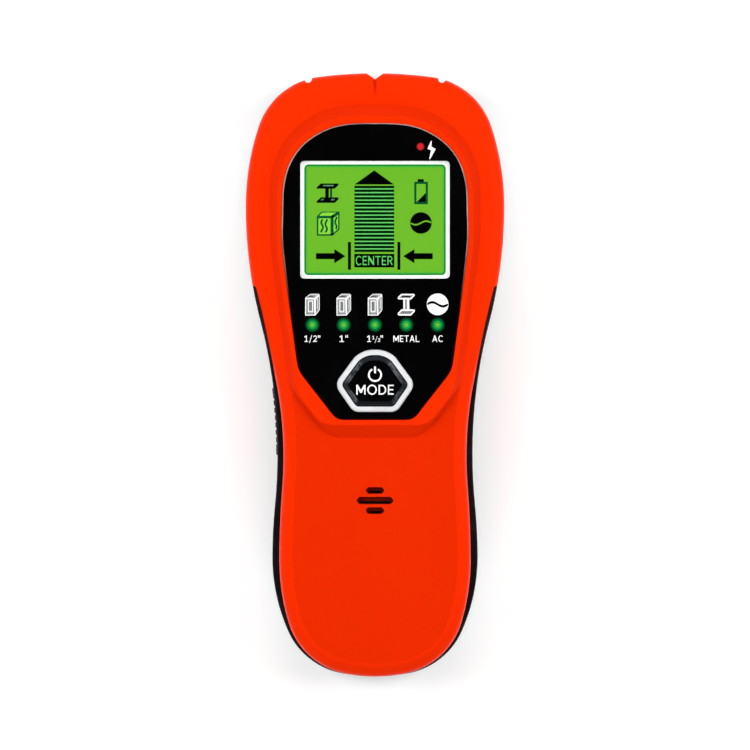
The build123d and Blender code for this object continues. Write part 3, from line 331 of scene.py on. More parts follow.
def key_black():
    """Gloss black key: a deep flat top and a bevel with a painted highlight, with fingerprints."""
    f = Finish("key_black")
    smear = f.ramp(f.noise(3.2 * MM, 5.0, 0.7), 0.42, 0.72)
    facing = f.axes(f.where.outputs["Normal"])
    # Painted highlight: the bevel faces get a paler grey than the flat top, less where they face the foot
    # end, with pale streaks where they face sideways.
    sloping = f.math("MULTIPLY", f.ramp(facing[2], 0.97, 0.86), f.ramp(facing[2], 0.3, 0.5))
    sloping = f.math("MULTIPLY", sloping, f.ramp(facing[1], -0.5, -0.2, 0.6, 1.0))
    sideways = f.math("ABSOLUTE", facing[0])
    painted_streak = f.math("MULTIPLY", f.ramp(f.noise(2.2 * MM, 2.0), 0.35, 0.65), f.ramp(sideways, 0.3, 0.55))
    painted_bevel_highlight = f.blend(painted_streak, (0.014, 0.017, 0.021), (0.115, 0.12, 0.135))
    flat_colour = f.blend(smear, (0.0012, 0.0012, 0.0015), (0.0024, 0.0024, 0.003))
    f.set(base_color=f.blend(sloping, flat_colour, painted_bevel_highlight))
    f.set(roughness=f.math("ADD", f.ramp(smear, 0.0, 1.0, 0.06, 0.12), f.math("MULTIPLY", sloping, 0.1)))
    f.set(specular_ior_level=0.4)
    f.bump(f.noise(0.5 * MM, 2.0), 0.003 * MM, 0.4)
    return f.material


def clear_window():
    """Clear acrylic window. Lamps shine through it to the display."""
    f = Finish("lens_clear")
    f.set(base_color=(0.985, 0.99, 0.985, 1.0), ior=1.46, transmission_weight=1.0)
    f.set(roughness=f.ramp(f.noise(12 * MM, 4.0), 0.45, 0.8, 0.0, 0.02))
    ray = f.add("ShaderNodeLightPath")
    clear = f.add("ShaderNodeBsdfTransparent")
    mix = f.add("ShaderNodeMixShader")
    f.join(f.math("MAXIMUM", ray.outputs["Is Shadow Ray"], ray.outputs["Is Diffuse Ray"]), mix.inputs[0])
    f.join(f.shader.outputs[0], mix.inputs[1])
    f.join(clear.outputs[0], mix.inputs[2])
    f.join(mix.outputs[0], f.output.inputs["Surface"])
    return f.material


def display_green():
    """Backlit display: even green, a little darker at its corners, with a dark edge line."""
    f = Finish("lcd_green")
    x, y = f.axes()[:2]
    from_middle = f.math("ABSOLUTE", f.math("SUBTRACT", y, DISPLAY[1]))
    flat_x = VIEW_WIDTH / 2 - VIEW_CORNER
    flat_y = VIEW_HEIGHT / 2 - VIEW_CORNER
    over_x = f.math("MAXIMUM", f.math("SUBTRACT", f.math("ABSOLUTE", x), flat_x), 0.0)
    over_y = f.math("MAXIMUM", f.math("SUBTRACT", from_middle, flat_y), 0.0)
    squared = f.math("ADD", f.math("MULTIPLY", over_x, over_x), f.math("MULTIPLY", over_y, over_y))
    edge = f.math("SUBTRACT", VIEW_CORNER, f.math("SQRT", squared))
    patches = f.ramp(f.noise(30 * MM, 2.0), 0.35, 0.7)
    field = f.blend(patches, (0.168, 0.535, 0.022), (0.182, 0.55, 0.026))
    glow = f.blend(f.ramp(edge, 0.6 * MM, 1.3 * MM), (0.09, 0.53, 0.05), field)
    lit = f.blend(f.ramp(edge, 0.42 * MM, 0.66 * MM), (0.006, 0.31, 0.035), glow)
    cell = 0.11 * MM
    grid = f.math("MINIMUM", f.math("PINGPONG", x, cell), f.math("PINGPONG", y, cell))
    mesh = f.ramp(grid, 0.0, 0.03 * MM, 0.93, 1.0)
    f.set(base_color=f.blend(mesh, (0.004, 0.012, 0.001), (0.006, 0.018, 0.001)))
    f.set(emission_color=f.blend(mesh, (0.03, 0.12, 0.01), lit), emission_strength=1.0)
    f.set(roughness=0.5, specular_ior_level=0.05)
    return f.material


def ink(name, colour, rough=0.5, glow=0.0, gloss=0.1):
    """Printed or displayed marks: slightly uneven in density."""
    f = Finish(name)
    thin = f.ramp(f.noise(0.6 * MM, 4.0, 0.65), 0.35, 0.75)
    shown = f.blend(thin, colour, shade(colour, 0.9))
    f.set(base_color=shown, roughness=rough, specular_ior_level=gloss)
    if glow:
        f.set(emission_color=shown, emission_strength=glow)
    f.bump(f.noise(0.12 * MM, 2.0), 0.004 * MM, 0.4)
    return f.material


def moulded(name, colour, rough=0.5, grain=0.3 * MM, depth=0.02 * MM, spread=0.15, **settings):
    """A moulded or painted piece: uneven tone, moulding texture and patchy gloss."""
    f = Finish(name)
    patches = f.ramp(f.noise(grain * 30, 5.0, 0.65), 0.35, 0.7)
    f.set(base_color=f.blend(patches, shade(colour, 1.0 - spread), shade(colour, 1.0 + spread)))
    f.set(roughness=f.ramp(f.noise(grain * 8, 4.0), 0.3, 0.7, rough - 0.07, rough + 0.07), **settings)
    f.bump(f.noise(grain, 3.0), depth, 0.5)
    return f.material


def drawn_metal(name, colour, rough=0.3, along=(1.0, 0.08, 1.0), grain=0.12 * MM):
    """Bare metal with drawing or turning lines and dull patches."""
    f = Finish(name)
    lines = f.noise(grain, 3.0, 0.6, f.stretched(along))
    dull = f.ramp(f.noise(3 * MM, 5.0, 0.7), 0.4, 0.75)
    f.set(base_color=f.blend(dull, colour, shade(colour, 0.72)), metallic=1.0)
    polish = f.ramp(lines, 0.3, 0.7, rough - 0.06, rough + 0.08)
    f.set(roughness=f.math("ADD", polish, f.math("MULTIPLY", dull, 0.08)))
    f.bump(lines, 0.008 * MM, 0.4)
    return f.material


def circuit_board():
    """Solder mask with copper tracks showing as a paler relief, and plated holes."""
    f = Finish("board_green")
    tracks = f.add("ShaderNodeTexBrick")
    tracks.offset = 0.37
    tracks.inputs["Scale"].default_value = 1.0 / (9 * MM)
    tracks.inputs["Mortar Size"].default_value = 0.035
    tracks.inputs["Mortar Smooth"].default_value = 0.1
    f.join(f.place, tracks.inputs["Vector"])
    track = tracks.outputs["Fac"]
    holes = f.ramp(f.cells(3.1 * MM), 0.16, 0.13)
    mask = f.blend(track, (0.010, 0.105, 0.034), (0.022, 0.20, 0.07))
    f.set(base_color=f.blend(holes, mask, (0.62, 0.52, 0.30)))
    f.set(roughness=f.ramp(f.noise(5 * MM, 4.0), 0.3, 0.7, 0.26, 0.4), coat_weight=0.25, coat_roughness=0.2)
    f.bump(track, 0.03 * MM, 0.6)
    f.bump(f.math("SUBTRACT", 1.0, holes), 0.05 * MM, 0.6)
    return f.material


def wound_copper():
    """Enamelled wire laid in rings round the coil's axis, with painted shade in the grooves between turns.
    """
    f = Finish("copper")
    distance = radial(f, *COIL[:2])
    z = f.axes()[2]
    wire = 0.11 * MM
    across = f.math("DIVIDE", f.math("PINGPONG", distance, wire), 2 * wire)
    up = f.math("DIVIDE", f.math("PINGPONG", z, wire), 2 * wire)
    turns = f.math("ADD", across, up)
    # Painted shade: the colour darkens where the relief dips between turns.
    f.set(base_color=f.blend(f.ramp(turns, 0.2, 0.8), (0.30, 0.085, 0.03), (0.72, 0.27, 0.11)))
    f.set(roughness=f.ramp(f.noise(2 * MM, 3.0), 0.3, 0.7, 0.25, 0.38))
    f.set(metallic=0.9, coat_weight=0.5, coat_roughness=0.15)
    f.bump(turns, 0.05 * MM, 0.8)
    return f.material


def striped_rubber():
    """Alternate dark and pale layers of a zebra connector."""
    f = Finish("zebra_rubber")
    x = f.axes()[0]
    layer = f.ramp(f.math("PINGPONG", x, 0.12 * MM), 0.045 * MM, 0.075 * MM)
    shown = f.blend(layer, (0.018, 0.018, 0.02), (0.34, 0.33, 0.31))
    f.set(base_color=f.blend(f.ramp(f.noise(1.5 * MM), 0.4, 0.8, 0.0, 0.3), shown, (0.12, 0.12, 0.12)))
    f.set(roughness=0.62)
    f.bump(f.noise(0.1 * MM), 0.01 * MM, 0.5)
    return f.material


def battery_jacket_paint():
    """Plain two-tone printed jacket of the battery, with small scuffs."""
    f = Finish("battery_steel")
    y = f.axes()[1]
    band = f.ramp(y, BATTERY[1] + 9.8 * MM, BATTERY[1] + 10.2 * MM)
    scuffed = f.ramp(f.noise(0.9 * MM, 6.0, 0.75), 0.64, 0.7)
    paint = f.blend(band, (0.055, 0.06, 0.07), (0.58, 0.34, 0.10))
    f.set(base_color=f.blend(scuffed, paint, (0.45, 0.45, 0.46)))
    f.set(metallic=f.ramp(scuffed, 0.0, 1.0, 0.35, 1.0))
    f.set(roughness=f.ramp(f.noise(4 * MM, 4.0), 0.3, 0.7, 0.26, 0.42))
    f.bump(f.noise(0.3 * MM, 2.0), 0.01 * MM, 0.4)
    return f.material


def floor_white():
    """Plain pale floor, open to view from underneath."""
    f = Finish("floor_white")
    f.set(base_color=f.blend(f.noise(0.4, 2.0), (0.93, 0.93, 0.93), (0.95, 0.95, 0.95)))
    f.set(roughness=0.9, specular_ior_level=0.1)
    f.set(emission_color=(1.0, 1.0, 1.0, 1.0), emission_strength=0.19)
    below = f.add("ShaderNodeNewGeometry")
    clear = f.add("ShaderNodeBsdfTransparent")
    mix = f.add("ShaderNodeMixShader")
    f.join(below.outputs["Backfacing"], mix.inputs[0])
    f.join(f.shader.outputs[0], mix.inputs[1])
    f.join(clear.outputs[0], mix.inputs[2])
    f.join(mix.outputs[0], f.output.inputs["Surface"])
    return f.material


FINISHES = {
    "orange_plastic": orange_plastic(),
    "black_plastic": black_plastic(),
    "grip_rubber": grip_rubber(),
    "panel_black": panel_black(),
    "lens_clear": clear_window(),
    "chrome_trim": chrome_trim(),
    "key_black": key_black(),
    "pad_grey": moulded("pad_grey", (0.085, 0.085, 0.09), 0.62, 0.5 * MM, 0.05 * MM),
    "screw_steel": drawn_metal("screw_steel", (0.56, 0.56, 0.57), 0.28, (1.0, 1.0, 0.2)),
    # The white display frame's emission is painted light: the frame glows though it is no lamp.
    "lcd_white": moulded("lcd_white", (0.88, 0.89, 0.88), 0.5, 1.5 * MM, 0.003 * MM, 0.02,
                         emission_color=(0.9, 0.93, 0.9, 1.0), emission_strength=0.35),
    "lcd_green": display_green(),
    "display_glass": moulded("display_glass", (0.30, 0.42, 0.34), 0.12, 0.8 * MM, 0.003 * MM, 0.05,
                             alpha=0.6),
    "light_guide": lamp_pipe(),
    "reflector_white": moulded("reflector_white", (0.85, 0.86, 0.86), 0.55, 0.4 * MM, 0.01 * MM, 0.03),
    "zebra_rubber": striped_rubber(),
    "board_green": circuit_board(),
    "chip_black": moulded("chip_black", (0.016, 0.016, 0.017), 0.5, 0.14 * MM, 0.02 * MM),
    "tin_plated": drawn_metal("tin_plated", (0.78, 0.78, 0.76), 0.24),
    "gold_pins": drawn_metal("gold_pins", (0.86, 0.62, 0.22), 0.22, (1.0, 1.0, 0.1)),
    "copper": wound_copper(),
    "capacitor_can": drawn_metal("capacitor_can", (0.70, 0.71, 0.73), 0.22, (1.0, 1.0, 0.05)),
    "led_green": moulded("led_green", (0.20, 0.62, 0.20), 0.3, 0.2 * MM, 0.005 * MM, 0.1,
                         emission_color=(0.10, 0.80, 0.12, 1.0), emission_strength=1.5),
    "led_red": moulded("led_red", (0.70, 0.05, 0.04), 0.3, 0.2 * MM, 0.005 * MM, 0.1,
                       emission_color=(0.80, 0.02, 0.01, 1.0), emission_strength=1.5),
    "led_white": moulded("led_white", (0.85, 0.85, 0.78), 0.35, 0.2 * MM, 0.005 * MM, 0.05,
                         emission_color=(0.8, 0.85, 0.6, 1.0), emission_strength=1.0),
    "bobbin_nylon": moulded("bobbin_nylon", (0.55, 0.52, 0.44), 0.45, 0.3 * MM, 0.01 * MM, 0.06,
                            subsurface_weight=0.2, subsurface_scale=0.001),
    "buzzer_black": moulded("buzzer_black", (0.012, 0.012, 0.013), 0.33, 0.2 * MM, 0.008 * MM),
    "foam_grey": moulded("foam_grey", (0.06, 0.06, 0.065), 0.9, 0.35 * MM, 0.12 * MM),
    "battery_steel": battery_jacket_paint(),
    "cell_steel": drawn_metal("cell_steel", (0.62, 0.62, 0.63), 0.3, (1.0, 0.06, 1.0)),
    "lead_red": moulded("lead_red", (0.52, 0.016, 0.012), 0.38, 0.2 * MM, 0.006 * MM),
    "lead_black": moulded("lead_black", (0.012, 0.012, 0.013), 0.38, 0.2 * MM, 0.006 * MM),
}
# The white print's emission of 0.1 is painted light: printed ink that glows though it is no lamp.
PRINT_WHITE = ink("print_white", (0.88, 0.88, 0.88), 0.42, 0.1)
PRINT_GREY = ink("print_grey", (0.28, 0.28, 0.285), 0.45)
PRINT_BLACK = ink("print_black", (0.012, 0.012, 0.013), 0.4)
DISPLAY_INK = ink("display_ink", (0.0005, 0.0015, 0.0005), 0.6, gloss=0.0)
DISPLAY_BARS = ink("display_bars", (0.0005, 0.012, 0.002), 0.6, 0.4, 0.0)
DISPLAY_SHADE = ink("display_shade", (0.0005, 0.06, 0.017), 0.6, 0.6, 0.0)
DISPLAY_LIGHT = ink("display_light", (0.07, 0.40, 0.075), 0.6, 0.6, 0.0)
DISPLAY_HAZE = ink("display_haze", (0.08, 0.40, 0.085), 0.6, 0.7, 0.0)
DISPLAY_SHEEN = ink("display_sheen", (0.06, 0.20, 0.085), 0.6, 0.5, 0.0)
DISPLAY_GLOW = ink("display_glow", (0.17, 0.46, 0.03), 0.6, 0.5, 0.0)

for entry in frame["record"]["subparts"]:
    shown = frame["nodes"][entry["node"]]
    shown.data.materials.clear()
    shown.data.materials.append(FINISHES[entry["material_slot"]])


# ---- flat marks: outlines in millimetres -----------------------------------------------------------


def circle(x, y, radius, count=48, start=0.0, end=2 * pi):
    """Points round a circle, or along an arc where start and end are given."""
    whole = abs(end - start - 2 * pi) < 1e-6
    steps = count if whole else count - 1
    angles = [start + (end - start) * i / steps for i in range(count)]
    return [(x + radius * cos(angle), y + radius * sin(angle)) for angle in angles]


def box(x0, y0, x1, y1):
    return [(x0, y0), (x1, y0), (x1, y1), (x0, y1)]


def shifted(points, distance, closed=True):
    """The same outline moved to its right by distance, with mitred corners."""
    count = len(points)
    moved = []
    for i, point in enumerate(points):
        before = points[i - 1] if closed or i > 0 else None
        after = points[(i + 1) % count] if closed or i < count - 1 else None
        directions = []
        for a, b in ((before, point), (point, after)):
            if a is not None and b is not None:
                length = hypot(b[0] - a[0], b[1] - a[1])
                directions.append(((b[0] - a[0]) / length, (b[1] - a[1]) / length))
        dx = sum(d[0] for d in directions)
        dy = sum(d[1] for d in directions)
        size = hypot(dx, dy)
        dx, dy = dx / size, dy / size
        slant = max(0.35, dx * directions[0][0] + dy * directions[0][1])
        moved.append((point[0] + dy * distance / slant, point[1] - dx * distance / slant))
    return moved


def stroke(points, width):
    """Outline of an open line of this width."""
    return shifted(points, width / 2, closed=False) + shifted(points, -width / 2, closed=False)[::-1]


def at(outlines, x, y):
    return [[(px + x, py + y) for px, py in outline] for outline in outlines]


def wave(x0, x1, y, height, count=15, turns=1.0, phase=0.0):
    """Points along a sine wave from x0 to x1."""
    return [
        (x0 + (x1 - x0) * i / (count - 1), y + height * sin(phase + 2 * pi * turns * i / (count - 1)))
        for i in range(count)
    ]


def settle(name, curve, material, body):
    """Turns a flat curve into a thin solid piece that rides on a body."""
    source = bpy.data.objects.new(name + "_curve", curve)
    bpy.context.scene.collection.objects.link(source)
    graph = bpy.context.evaluated_depsgraph_get()
    mesh = bpy.data.meshes.new_from_object(source.evaluated_get(graph))
    mesh.name = name
    bpy.data.objects.remove(source)
    bpy.data.curves.remove(curve)
    mesh.materials.clear()
    mesh.materials.append(material)
    piece = bpy.data.objects.new(name, mesh)
    bpy.context.scene.collection.objects.link(piece)
    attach(piece, body)
    return piece


MARK_THICKNESS = 0.02 * MM


def mark(name, outlines, origin, z, material, body="casing"):
    """Flat marks from closed outlines round origin; an outline inside another is a hole in it."""
    curve = bpy.data.curves.new(name, "CURVE")
    curve.dimensions = "2D"
    curve.fill_mode = "BOTH"
    curve.extrude = MARK_THICKNESS
    for outline in outlines:
        spline = curve.splines.new("POLY")
        spline.points.add(len(outline) - 1)
        spline.use_cyclic_u = True
        for point, (x, y) in zip(spline.points, outline):
            point.co = (origin[0] + x * MM, origin[1] + y * MM, 0.0, 1.0)
    piece = settle(name, curve, material, body)
    for vertex in piece.data.vertices:
        vertex.co.z += z


def oval(x0, y0, x1, y1, start=0.0, end=2 * pi, count=28):
    """Points round an ellipse in a box, or along part of it."""
    points = circle(0, 0, 1, count, start, end)
    return [((x0 + x1) / 2 + px * (x1 - x0) / 2, (y0 + y1) / 2 + py * (y1 - y0) / 2) for px, py in points]


def letter_outlines(letter, t):
    """Outlines of a plain letter or figure one unit high with strokes t thick, and its width."""
    half = t / 2
    if letter == "M":
        dip, w = 0.28, 0.92
        left = [(0, 0), (t, 0), (t, 0.66), (w / 2 - half * 0.8, dip - 0.12)]
        inner = [(w - t * 1.2, 1), (w / 2, 0.47), (t * 1.2, 1)]
        return [left + [(w - x, y) for x, y in left[::-1]] + [(w, 1)] + inner + [(0, 1)]], w
    if letter == "E":
        w = 0.57
        arm = [(t, 0.5 - half), (w * 0.92, 0.5 - half), (w * 0.92, 0.5 + half), (t, 0.5 + half)]
        return [[(0, 0), (w, 0), (w, t), (t, t)] + arm + [(t, 1 - t), (w, 1 - t), (w, 1), (0, 1)]], w
    if letter == "L":
        return [[(0, 0), (0.6, 0), (0.6, t), (t, t), (t, 1), (0, 1)]], 0.6
    if letter == "T":
        w = 0.7
        stem = [(w / 2 - half, 1 - t), (w / 2 - half, 0), (w / 2 + half, 0), (w / 2 + half, 1 - t)]
        return [[(0, 1 - t)] + stem + [(w, 1 - t), (w, 1), (0, 1)]], w
    if letter == "N":
        w = 0.76
        up = [(0, 0), (t, 0), (t, 0.64), (w - t, 0), (w, 0)]
        return [up + [(w, 1), (w - t, 1), (w - t, 0.36), (t, 1), (0, 1)]], w
    if letter == "A":
        w = 0.8
        foot = [(0, 0), (t, 0), (t + 0.09, 0.24), (w - t - 0.09, 0.24), (w - t, 0), (w, 0)]
        peak = [(w / 2 + t * 0.58, 1), (w / 2 - t * 0.58, 1)]
        return [foot + peak, [(w / 2, 0.8), (0.29, 0.4), (w - 0.29, 0.4)]], w
    if letter == "O":
        return [oval(0, -0.02, 0.95, 1.02), oval(t, t - 0.02, 0.95 - t, 1.02 - t)], 0.95
    if letter == "D":
        outer = [(0, 0)] + oval(-0.1, 0, 0.76, 1, -pi / 2, pi / 2, 17) + [(0, 1)]
        inner = [(t, t)] + oval(-0.1 + t, t, 0.76 - t, 1 - t, -pi / 2, pi / 2, 17) + [(t, 1 - t)]
        return [outer, inner], 0.76
    if letter == "C":
        outer = oval(0, -0.02, 0.84, 1.02, 0.75, 2 * pi - 0.75, 25)
        inner = oval(t, t - 0.02, 0.84 - t, 1.02 - t, 0.75, 2 * pi - 0.75, 25)
        return [outer + inner[::-1]], 0.74
    if letter == "R":
        w = 0.7
        bowl = oval(0.0, 0.4, 0.66, 1, -pi / 2, pi / 2, 13)
        leg = [(0, 0), (t, 0), (t, 0.4), (0.3, 0.4), (w - t * 1.05, 0), (w, 0), (0.46, 0.44)]
        hole = [(t, 0.4 + t)] + oval(t, 0.4 + t, 0.66 - t, 1 - t, -pi / 2, pi / 2, 13) + [(t, 1 - t)]
        return [leg + bowl[3:] + [(0, 1)], hole], w
    if letter == "1":
        w, m = 0.56, 0.3
        foot = t * 0.9
        flag = [(m - half * 0.9, 1), (0.02, 0.84), (0.02, 0.66), (m - half, 0.78)]
        stem = [(m + half, foot), (m + half, 1)] + flag + [(m - half, foot)]
        return [[(0, 0), (w, 0), (w, foot)] + stem + [(0, foot)]], w
    if letter == "2":
        hook = oval(half, 0.42, 0.58 - half, 1 - half, pi * 0.9, -0.25 * pi, 13)
        return [stroke(hook + [(half * 1.3, half * 1.6), (0.6, half * 1.6)], t)], 0.6
    if letter == "/":
        return [[(0, -0.16), (t * 0.8, -0.16), (0.46, 1.06), (0.46 - t * 0.8, 1.06)]], 0.46
    marks = [box(0, 0.66, t, 1.02), box(t * 1.7, 0.66, t * 2.7, 1.02)]
    return marks, t * 2.7


LETTER_GAP = 0.17
FRACTION_GAP = 0.05
FRACTION_WEIGHT = 0.62
# Parts of the half in a depth legend: the figure that each stands for, its size and its rise.
FRACTION = {"a": ("1", 0.56, 0.4), "b": ("/", 0.85, 0.0), "c": ("2", 0.56, 0.0)}


def legend(name, words, origin, size, z, material, body="casing", thick=0.17):
    """Words in plain letters, centred on origin, size = (width, height) in millimetres."""
    across = 0.0
    outlines = []
    for letter in words:
        figure, scale, rise = FRACTION.get(letter, (letter, 1.0, 0.0))
        weight, gap = (FRACTION_WEIGHT, FRACTION_GAP) if letter in FRACTION else (1.0, LETTER_GAP)
        shapes, width = letter_outlines(figure, thick / scale * weight)
        outlines += [[(across + x * scale, rise + y * scale) for x, y in shape] for shape in shapes]
        across += width * scale + gap
    across -= LETTER_GAP
    fit = size[0] / across
    placed = [[((x - across / 2) * fit, (y - 0.5) * size[1]) for x, y in shape] for shape in outlines]
    mark(name, placed, origin, z, material, body)


# ---- faceplate legends -----------------------------------------------------------------------------

ICON_RISE = 5.6 * MM         # from the row of lamps to the middle of the icons over them
WORD_DROP = 3.78 * MM        # and down to the middle of the words
LAYER = 0.015 * MM           # a second ink printed over the first


def stud_icon(name, x):
    """A block of wood drawn at a slant, 3.9 by 5.9: white lines over grey faces, with its grain."""
    low, high = -3.05, 2.85
    silhouette = [(-1.95, low), (0.78, low), (1.96, -1.6), (1.96, 2.6), (1.72, high), (-0.6, high)]
    silhouette.append((-1.95, 1.75))
    front = [(-1.95, low), (0.78, low), (0.66, 1.4), (0.4, 1.62), (-1.95, 1.62)]
    lid = [(-1.95, 1.66), (0.7, 1.62), (1.92, 2.65), (1.72, high), (-0.6, high), (-1.9, 1.85)]
    side = [(0.78, low), (1.96, -1.6), (1.96, 2.55), (0.72, 1.45)]
    origin = (x, LAMPS[1] + ICON_RISE)
    mark(name + "_faces", [shifted(silhouette, -0.12)], origin, PANEL_TOP, PRINT_GREY)
    faces = ((front, 0.22), (lid, 0.15), (side, 0.17))
    lines = [silhouette] + [shifted(face, -width) for face, width in faces]
    mark(name + "_frame", lines, origin, PANEL_TOP + LAYER, PRINT_WHITE)
    panel = [(-1.15, -2.15), (0.12, -2.15), (0.16, 1.02), (-1.15, 1.02)]
    light = [panel, shifted(panel, -0.22), circle(1.2, 2.3, 0.3, 16)]
    light.append(stroke([(1.42, -1.2), (1.5, 0.2), (1.42, 1.5)], 0.14))
    mark(name + "_light_grain", light, origin, PANEL_TOP + LAYER, PRINT_WHITE)
    dark = [stroke([(-0.68, -1.6), (-0.72, -0.4), (-0.66, 0.75)], 0.15), circle(1.2, 2.3, 0.16, 12)]
    dark.append(stroke([(-0.3, -1.5), (-0.33, -0.5), (-0.28, 0.6)], 0.13))
    dark.append(stroke([(-1.45, 1.88), (-0.5, 2.2), (0.45, 1.98)], 0.24))
    dark += [stroke([(px, py), (px + 0.3, py + 0.26)], 0.2) for px, py in ((-1.55, -2.72), (0.3, -2.7))]
    dark.append(stroke([(1.08, -1.9), (1.0, -0.6), (1.06, 0.9)], 0.13))
    dark.append(stroke([(1.66, -1.0), (1.7, 0.3), (1.66, 2.0)], 0.12))
    mark(name + "_dark_grain", dark, origin, PANEL_TOP + LAYER * 2, PRINT_BLACK)


def metal_icon(x):
    """I-beam in white lines over grey faces."""
    origin = (x, LAMPS[1] + ICON_RISE)
    upper = [(-2.35, 1.58), (-2.1, 1.36), (1.3, 1.36), (2.3, 2.35)]
    upper += [(2.3, 2.65), (2.05, 2.86), (-1.35, 2.86), (-2.3, 1.95)]
    lower = [(-2.35, -2.8), (-2.1, -3.05), (1.3, -3.05), (2.3, -1.95)]
    lower += [(2.3, -1.6), (2.05, -1.38), (-1.35, -1.38), (-2.3, -2.4)]
    web = box(-0.8, -1.36, 0.8, 1.34)
    faces = [shifted(upper, -0.1), shifted(lower, -0.1), web]
    mark("metal_icon_faces", faces, origin, PANEL_TOP, PRINT_GREY)
    lines = [upper, shifted(upper, -0.36), lower, shifted(lower, -0.36)]
    lines += [box(-0.8, -1.36, -0.42, 1.34), box(0.26, -1.36, 0.8, 1.34)]
    mark("metal_icon_lines", lines, origin, PANEL_TOP + LAYER, PRINT_WHITE)
    dark = [stroke([(-1.25, 2.12), (1.15, 2.12)], 0.42)]
    dark += [stroke([(px, -2.4), (px + 0.28, -2.0)], 0.17) for px in (-1.45, -0.85, -0.25, 0.35, 0.95)]
    mark("metal_icon_grooves", dark, origin, PANEL_TOP + LAYER * 2, PRINT_BLACK)


def mains_outlines(radius, gap, height):
    """A disc cut in two by a wave."""
    reach = sqrt(radius * radius - gap * gap / 4)
    upper = wave(-reach, reach, gap / 2, height, 25)
    lower = wave(-reach, reach, -gap / 2, height, 25)
    above = circle(0, 0, radius, 33, 0.0, pi)
    below = circle(0, 0, radius, 33, pi, 2 * pi)
    return [upper[1:-1] + above, lower[-2:0:-1] + below]


def bolt_icon():
    """Lightning bolt beside the red warning lamp."""
    points = [(2.86, 1.46), (1.92, -0.64), (2.92, -0.98), (2.42, -3.42)]
    points += [(2.58, -3.5), (4.18, -0.66), (3.02, -0.1), (3.08, 1.62)]
    mark("bolt_icon", [points], WARNING, PANEL_TOP, PRINT_WHITE)


def faceplate_legends():
    columns = [LAMPS[0] + step * LAMP_PITCH for step in range(-2, 3)]
    for number, x in enumerate(columns[:3], start=1):
        stud_icon(f"stud_icon_{number}", x)
    metal_icon(columns[3])
    origin = (columns[4], LAMPS[1] + ICON_RISE)
    mark("mains_icon", mains_outlines(2.95, 0.72, 0.55), origin, PANEL_TOP, PRINT_WHITE)
    bolt_icon()
    words = (('1/2"', 4.3), ('1"', 2.3), ('1abc"', 4.3), ("METAL", 7.1), ("AC", 2.9))
    for number, (x, (text, width)) in enumerate(zip(columns, words), start=1):
        origin = (x, LAMPS[1] - WORD_DROP)
        legend(f"depth_legend_{number}", text, origin, (width, 1.78), PANEL_TOP, PRINT_WHITE, thick=0.125)


def key_legends():
    """Power sign and the word on the key."""
    z = KEY_TOP
    gap = radians(27)
    bow = circle(0, 0, 1.68, 33, pi / 2 + gap, pi / 2 - gap + 2 * pi)
    sign = [stroke(bow, 0.48), stroke([(0, 0.45), (0, 2.3)], 0.5)]
    mark("power_sign", sign, (KEY[0], KEY[1] + 1.63 * MM), z, PRINT_WHITE, "mode_key")
    origin = (KEY[0], KEY[1] - 2.42 * MM)
    legend("key_word", "MODE", origin, (10.2, 2.68), z, PRINT_WHITE, "mode_key", thick=0.13)


# ---- display picture -------------------------------------------------------------------------------


PICTURE = (DISPLAY[0], DISPLAY[1] - 0.16 * MM)     # middle of everything that the display shows


def display_mark(name, outlines, material, lift=0.0):
    mark(name, outlines, PICTURE, DISPLAY_TOP + lift, material)


def signal_column():
    """Arrow, the stack of bars under it and the box at its foot."""
    bars = [box(-5.62, 8.76 - i * 1.024, 5.24, 9.46 - i * 1.024) for i in range(18)]
    display_mark("signal_bars", bars, DISPLAY_BARS)
    display_mark("signal_back", [box(-5.45, -8.65, 5.07, 9.2)], DISPLAY_HAZE, -LAYER)
    arrow = [(-5.6, 9.8), (5.2, 9.8), (-0.2, 13.65)]
    display_mark("signal_arrow", [arrow, box(-5.65, -12.85, 5.27, -9.15)], DISPLAY_INK)
    origin = (PICTURE[0] - 0.2 * MM, PICTURE[1] - 10.98 * MM)
    z = DISPLAY_TOP + LAYER * 2
    legend("centre_word", "CENTER", origin, (10.1, 2.5), z, DISPLAY_LIGHT, thick=0.125)


def pointers():
    """Bars and arrows that close in on the middle."""
    marks = [box(-7.4, -13.5, -6.56, -5.9), box(6.12, -13.5, 6.94, -5.9)]
    arrow = [(-15.95, -0.82), (-10.95, -0.82), (-10.95, -1.95), (-7.9, 0.0), (-10.95, 1.95), (-10.95, 0.82)]
    arrow.append((-15.95, 0.82))
    marks.append([(x - 0.18, y - 9.78) for x, y in arrow])
    marks.append([(-x - 0.18, y - 9.78) for x, y in arrow[::-1]])
    display_mark("pointers", marks, DISPLAY_INK)


def beam_sign():
    upper = [(-15.95, 8.66), (-11.0, 8.66), (-10.0, 9.62), (-10.0, 10.08), (-14.8, 10.08), (-15.95, 9.0)]
    lower = [(-15.95, 4.78), (-11.0, 4.78), (-10.0, 5.72), (-10.0, 6.3), (-14.8, 6.3), (-15.95, 5.2)]
    display_mark("beam_sign", [upper, lower, box(-13.6, 6.3, -12.62, 8.66)], DISPLAY_INK)
    display_mark("beam_edge", [box(-12.3, 6.3, -11.7, 8.66)], DISPLAY_SHADE)
    inlay = [[(-14.3, 9.34), (-11.5, 9.34), (-11.15, 9.7), (-14.05, 9.7)]]
    inlay += [[(-14.9, 5.5), (-14.15, 5.5), (-13.9, 5.85), (-14.6, 5.85)]]
    inlay += [[(-12.1, 5.5), (-11.2, 5.5), (-10.95, 5.85), (-11.9, 5.85)]]
    display_mark("beam_light", inlay, DISPLAY_SHEEN, LAYER * 2)


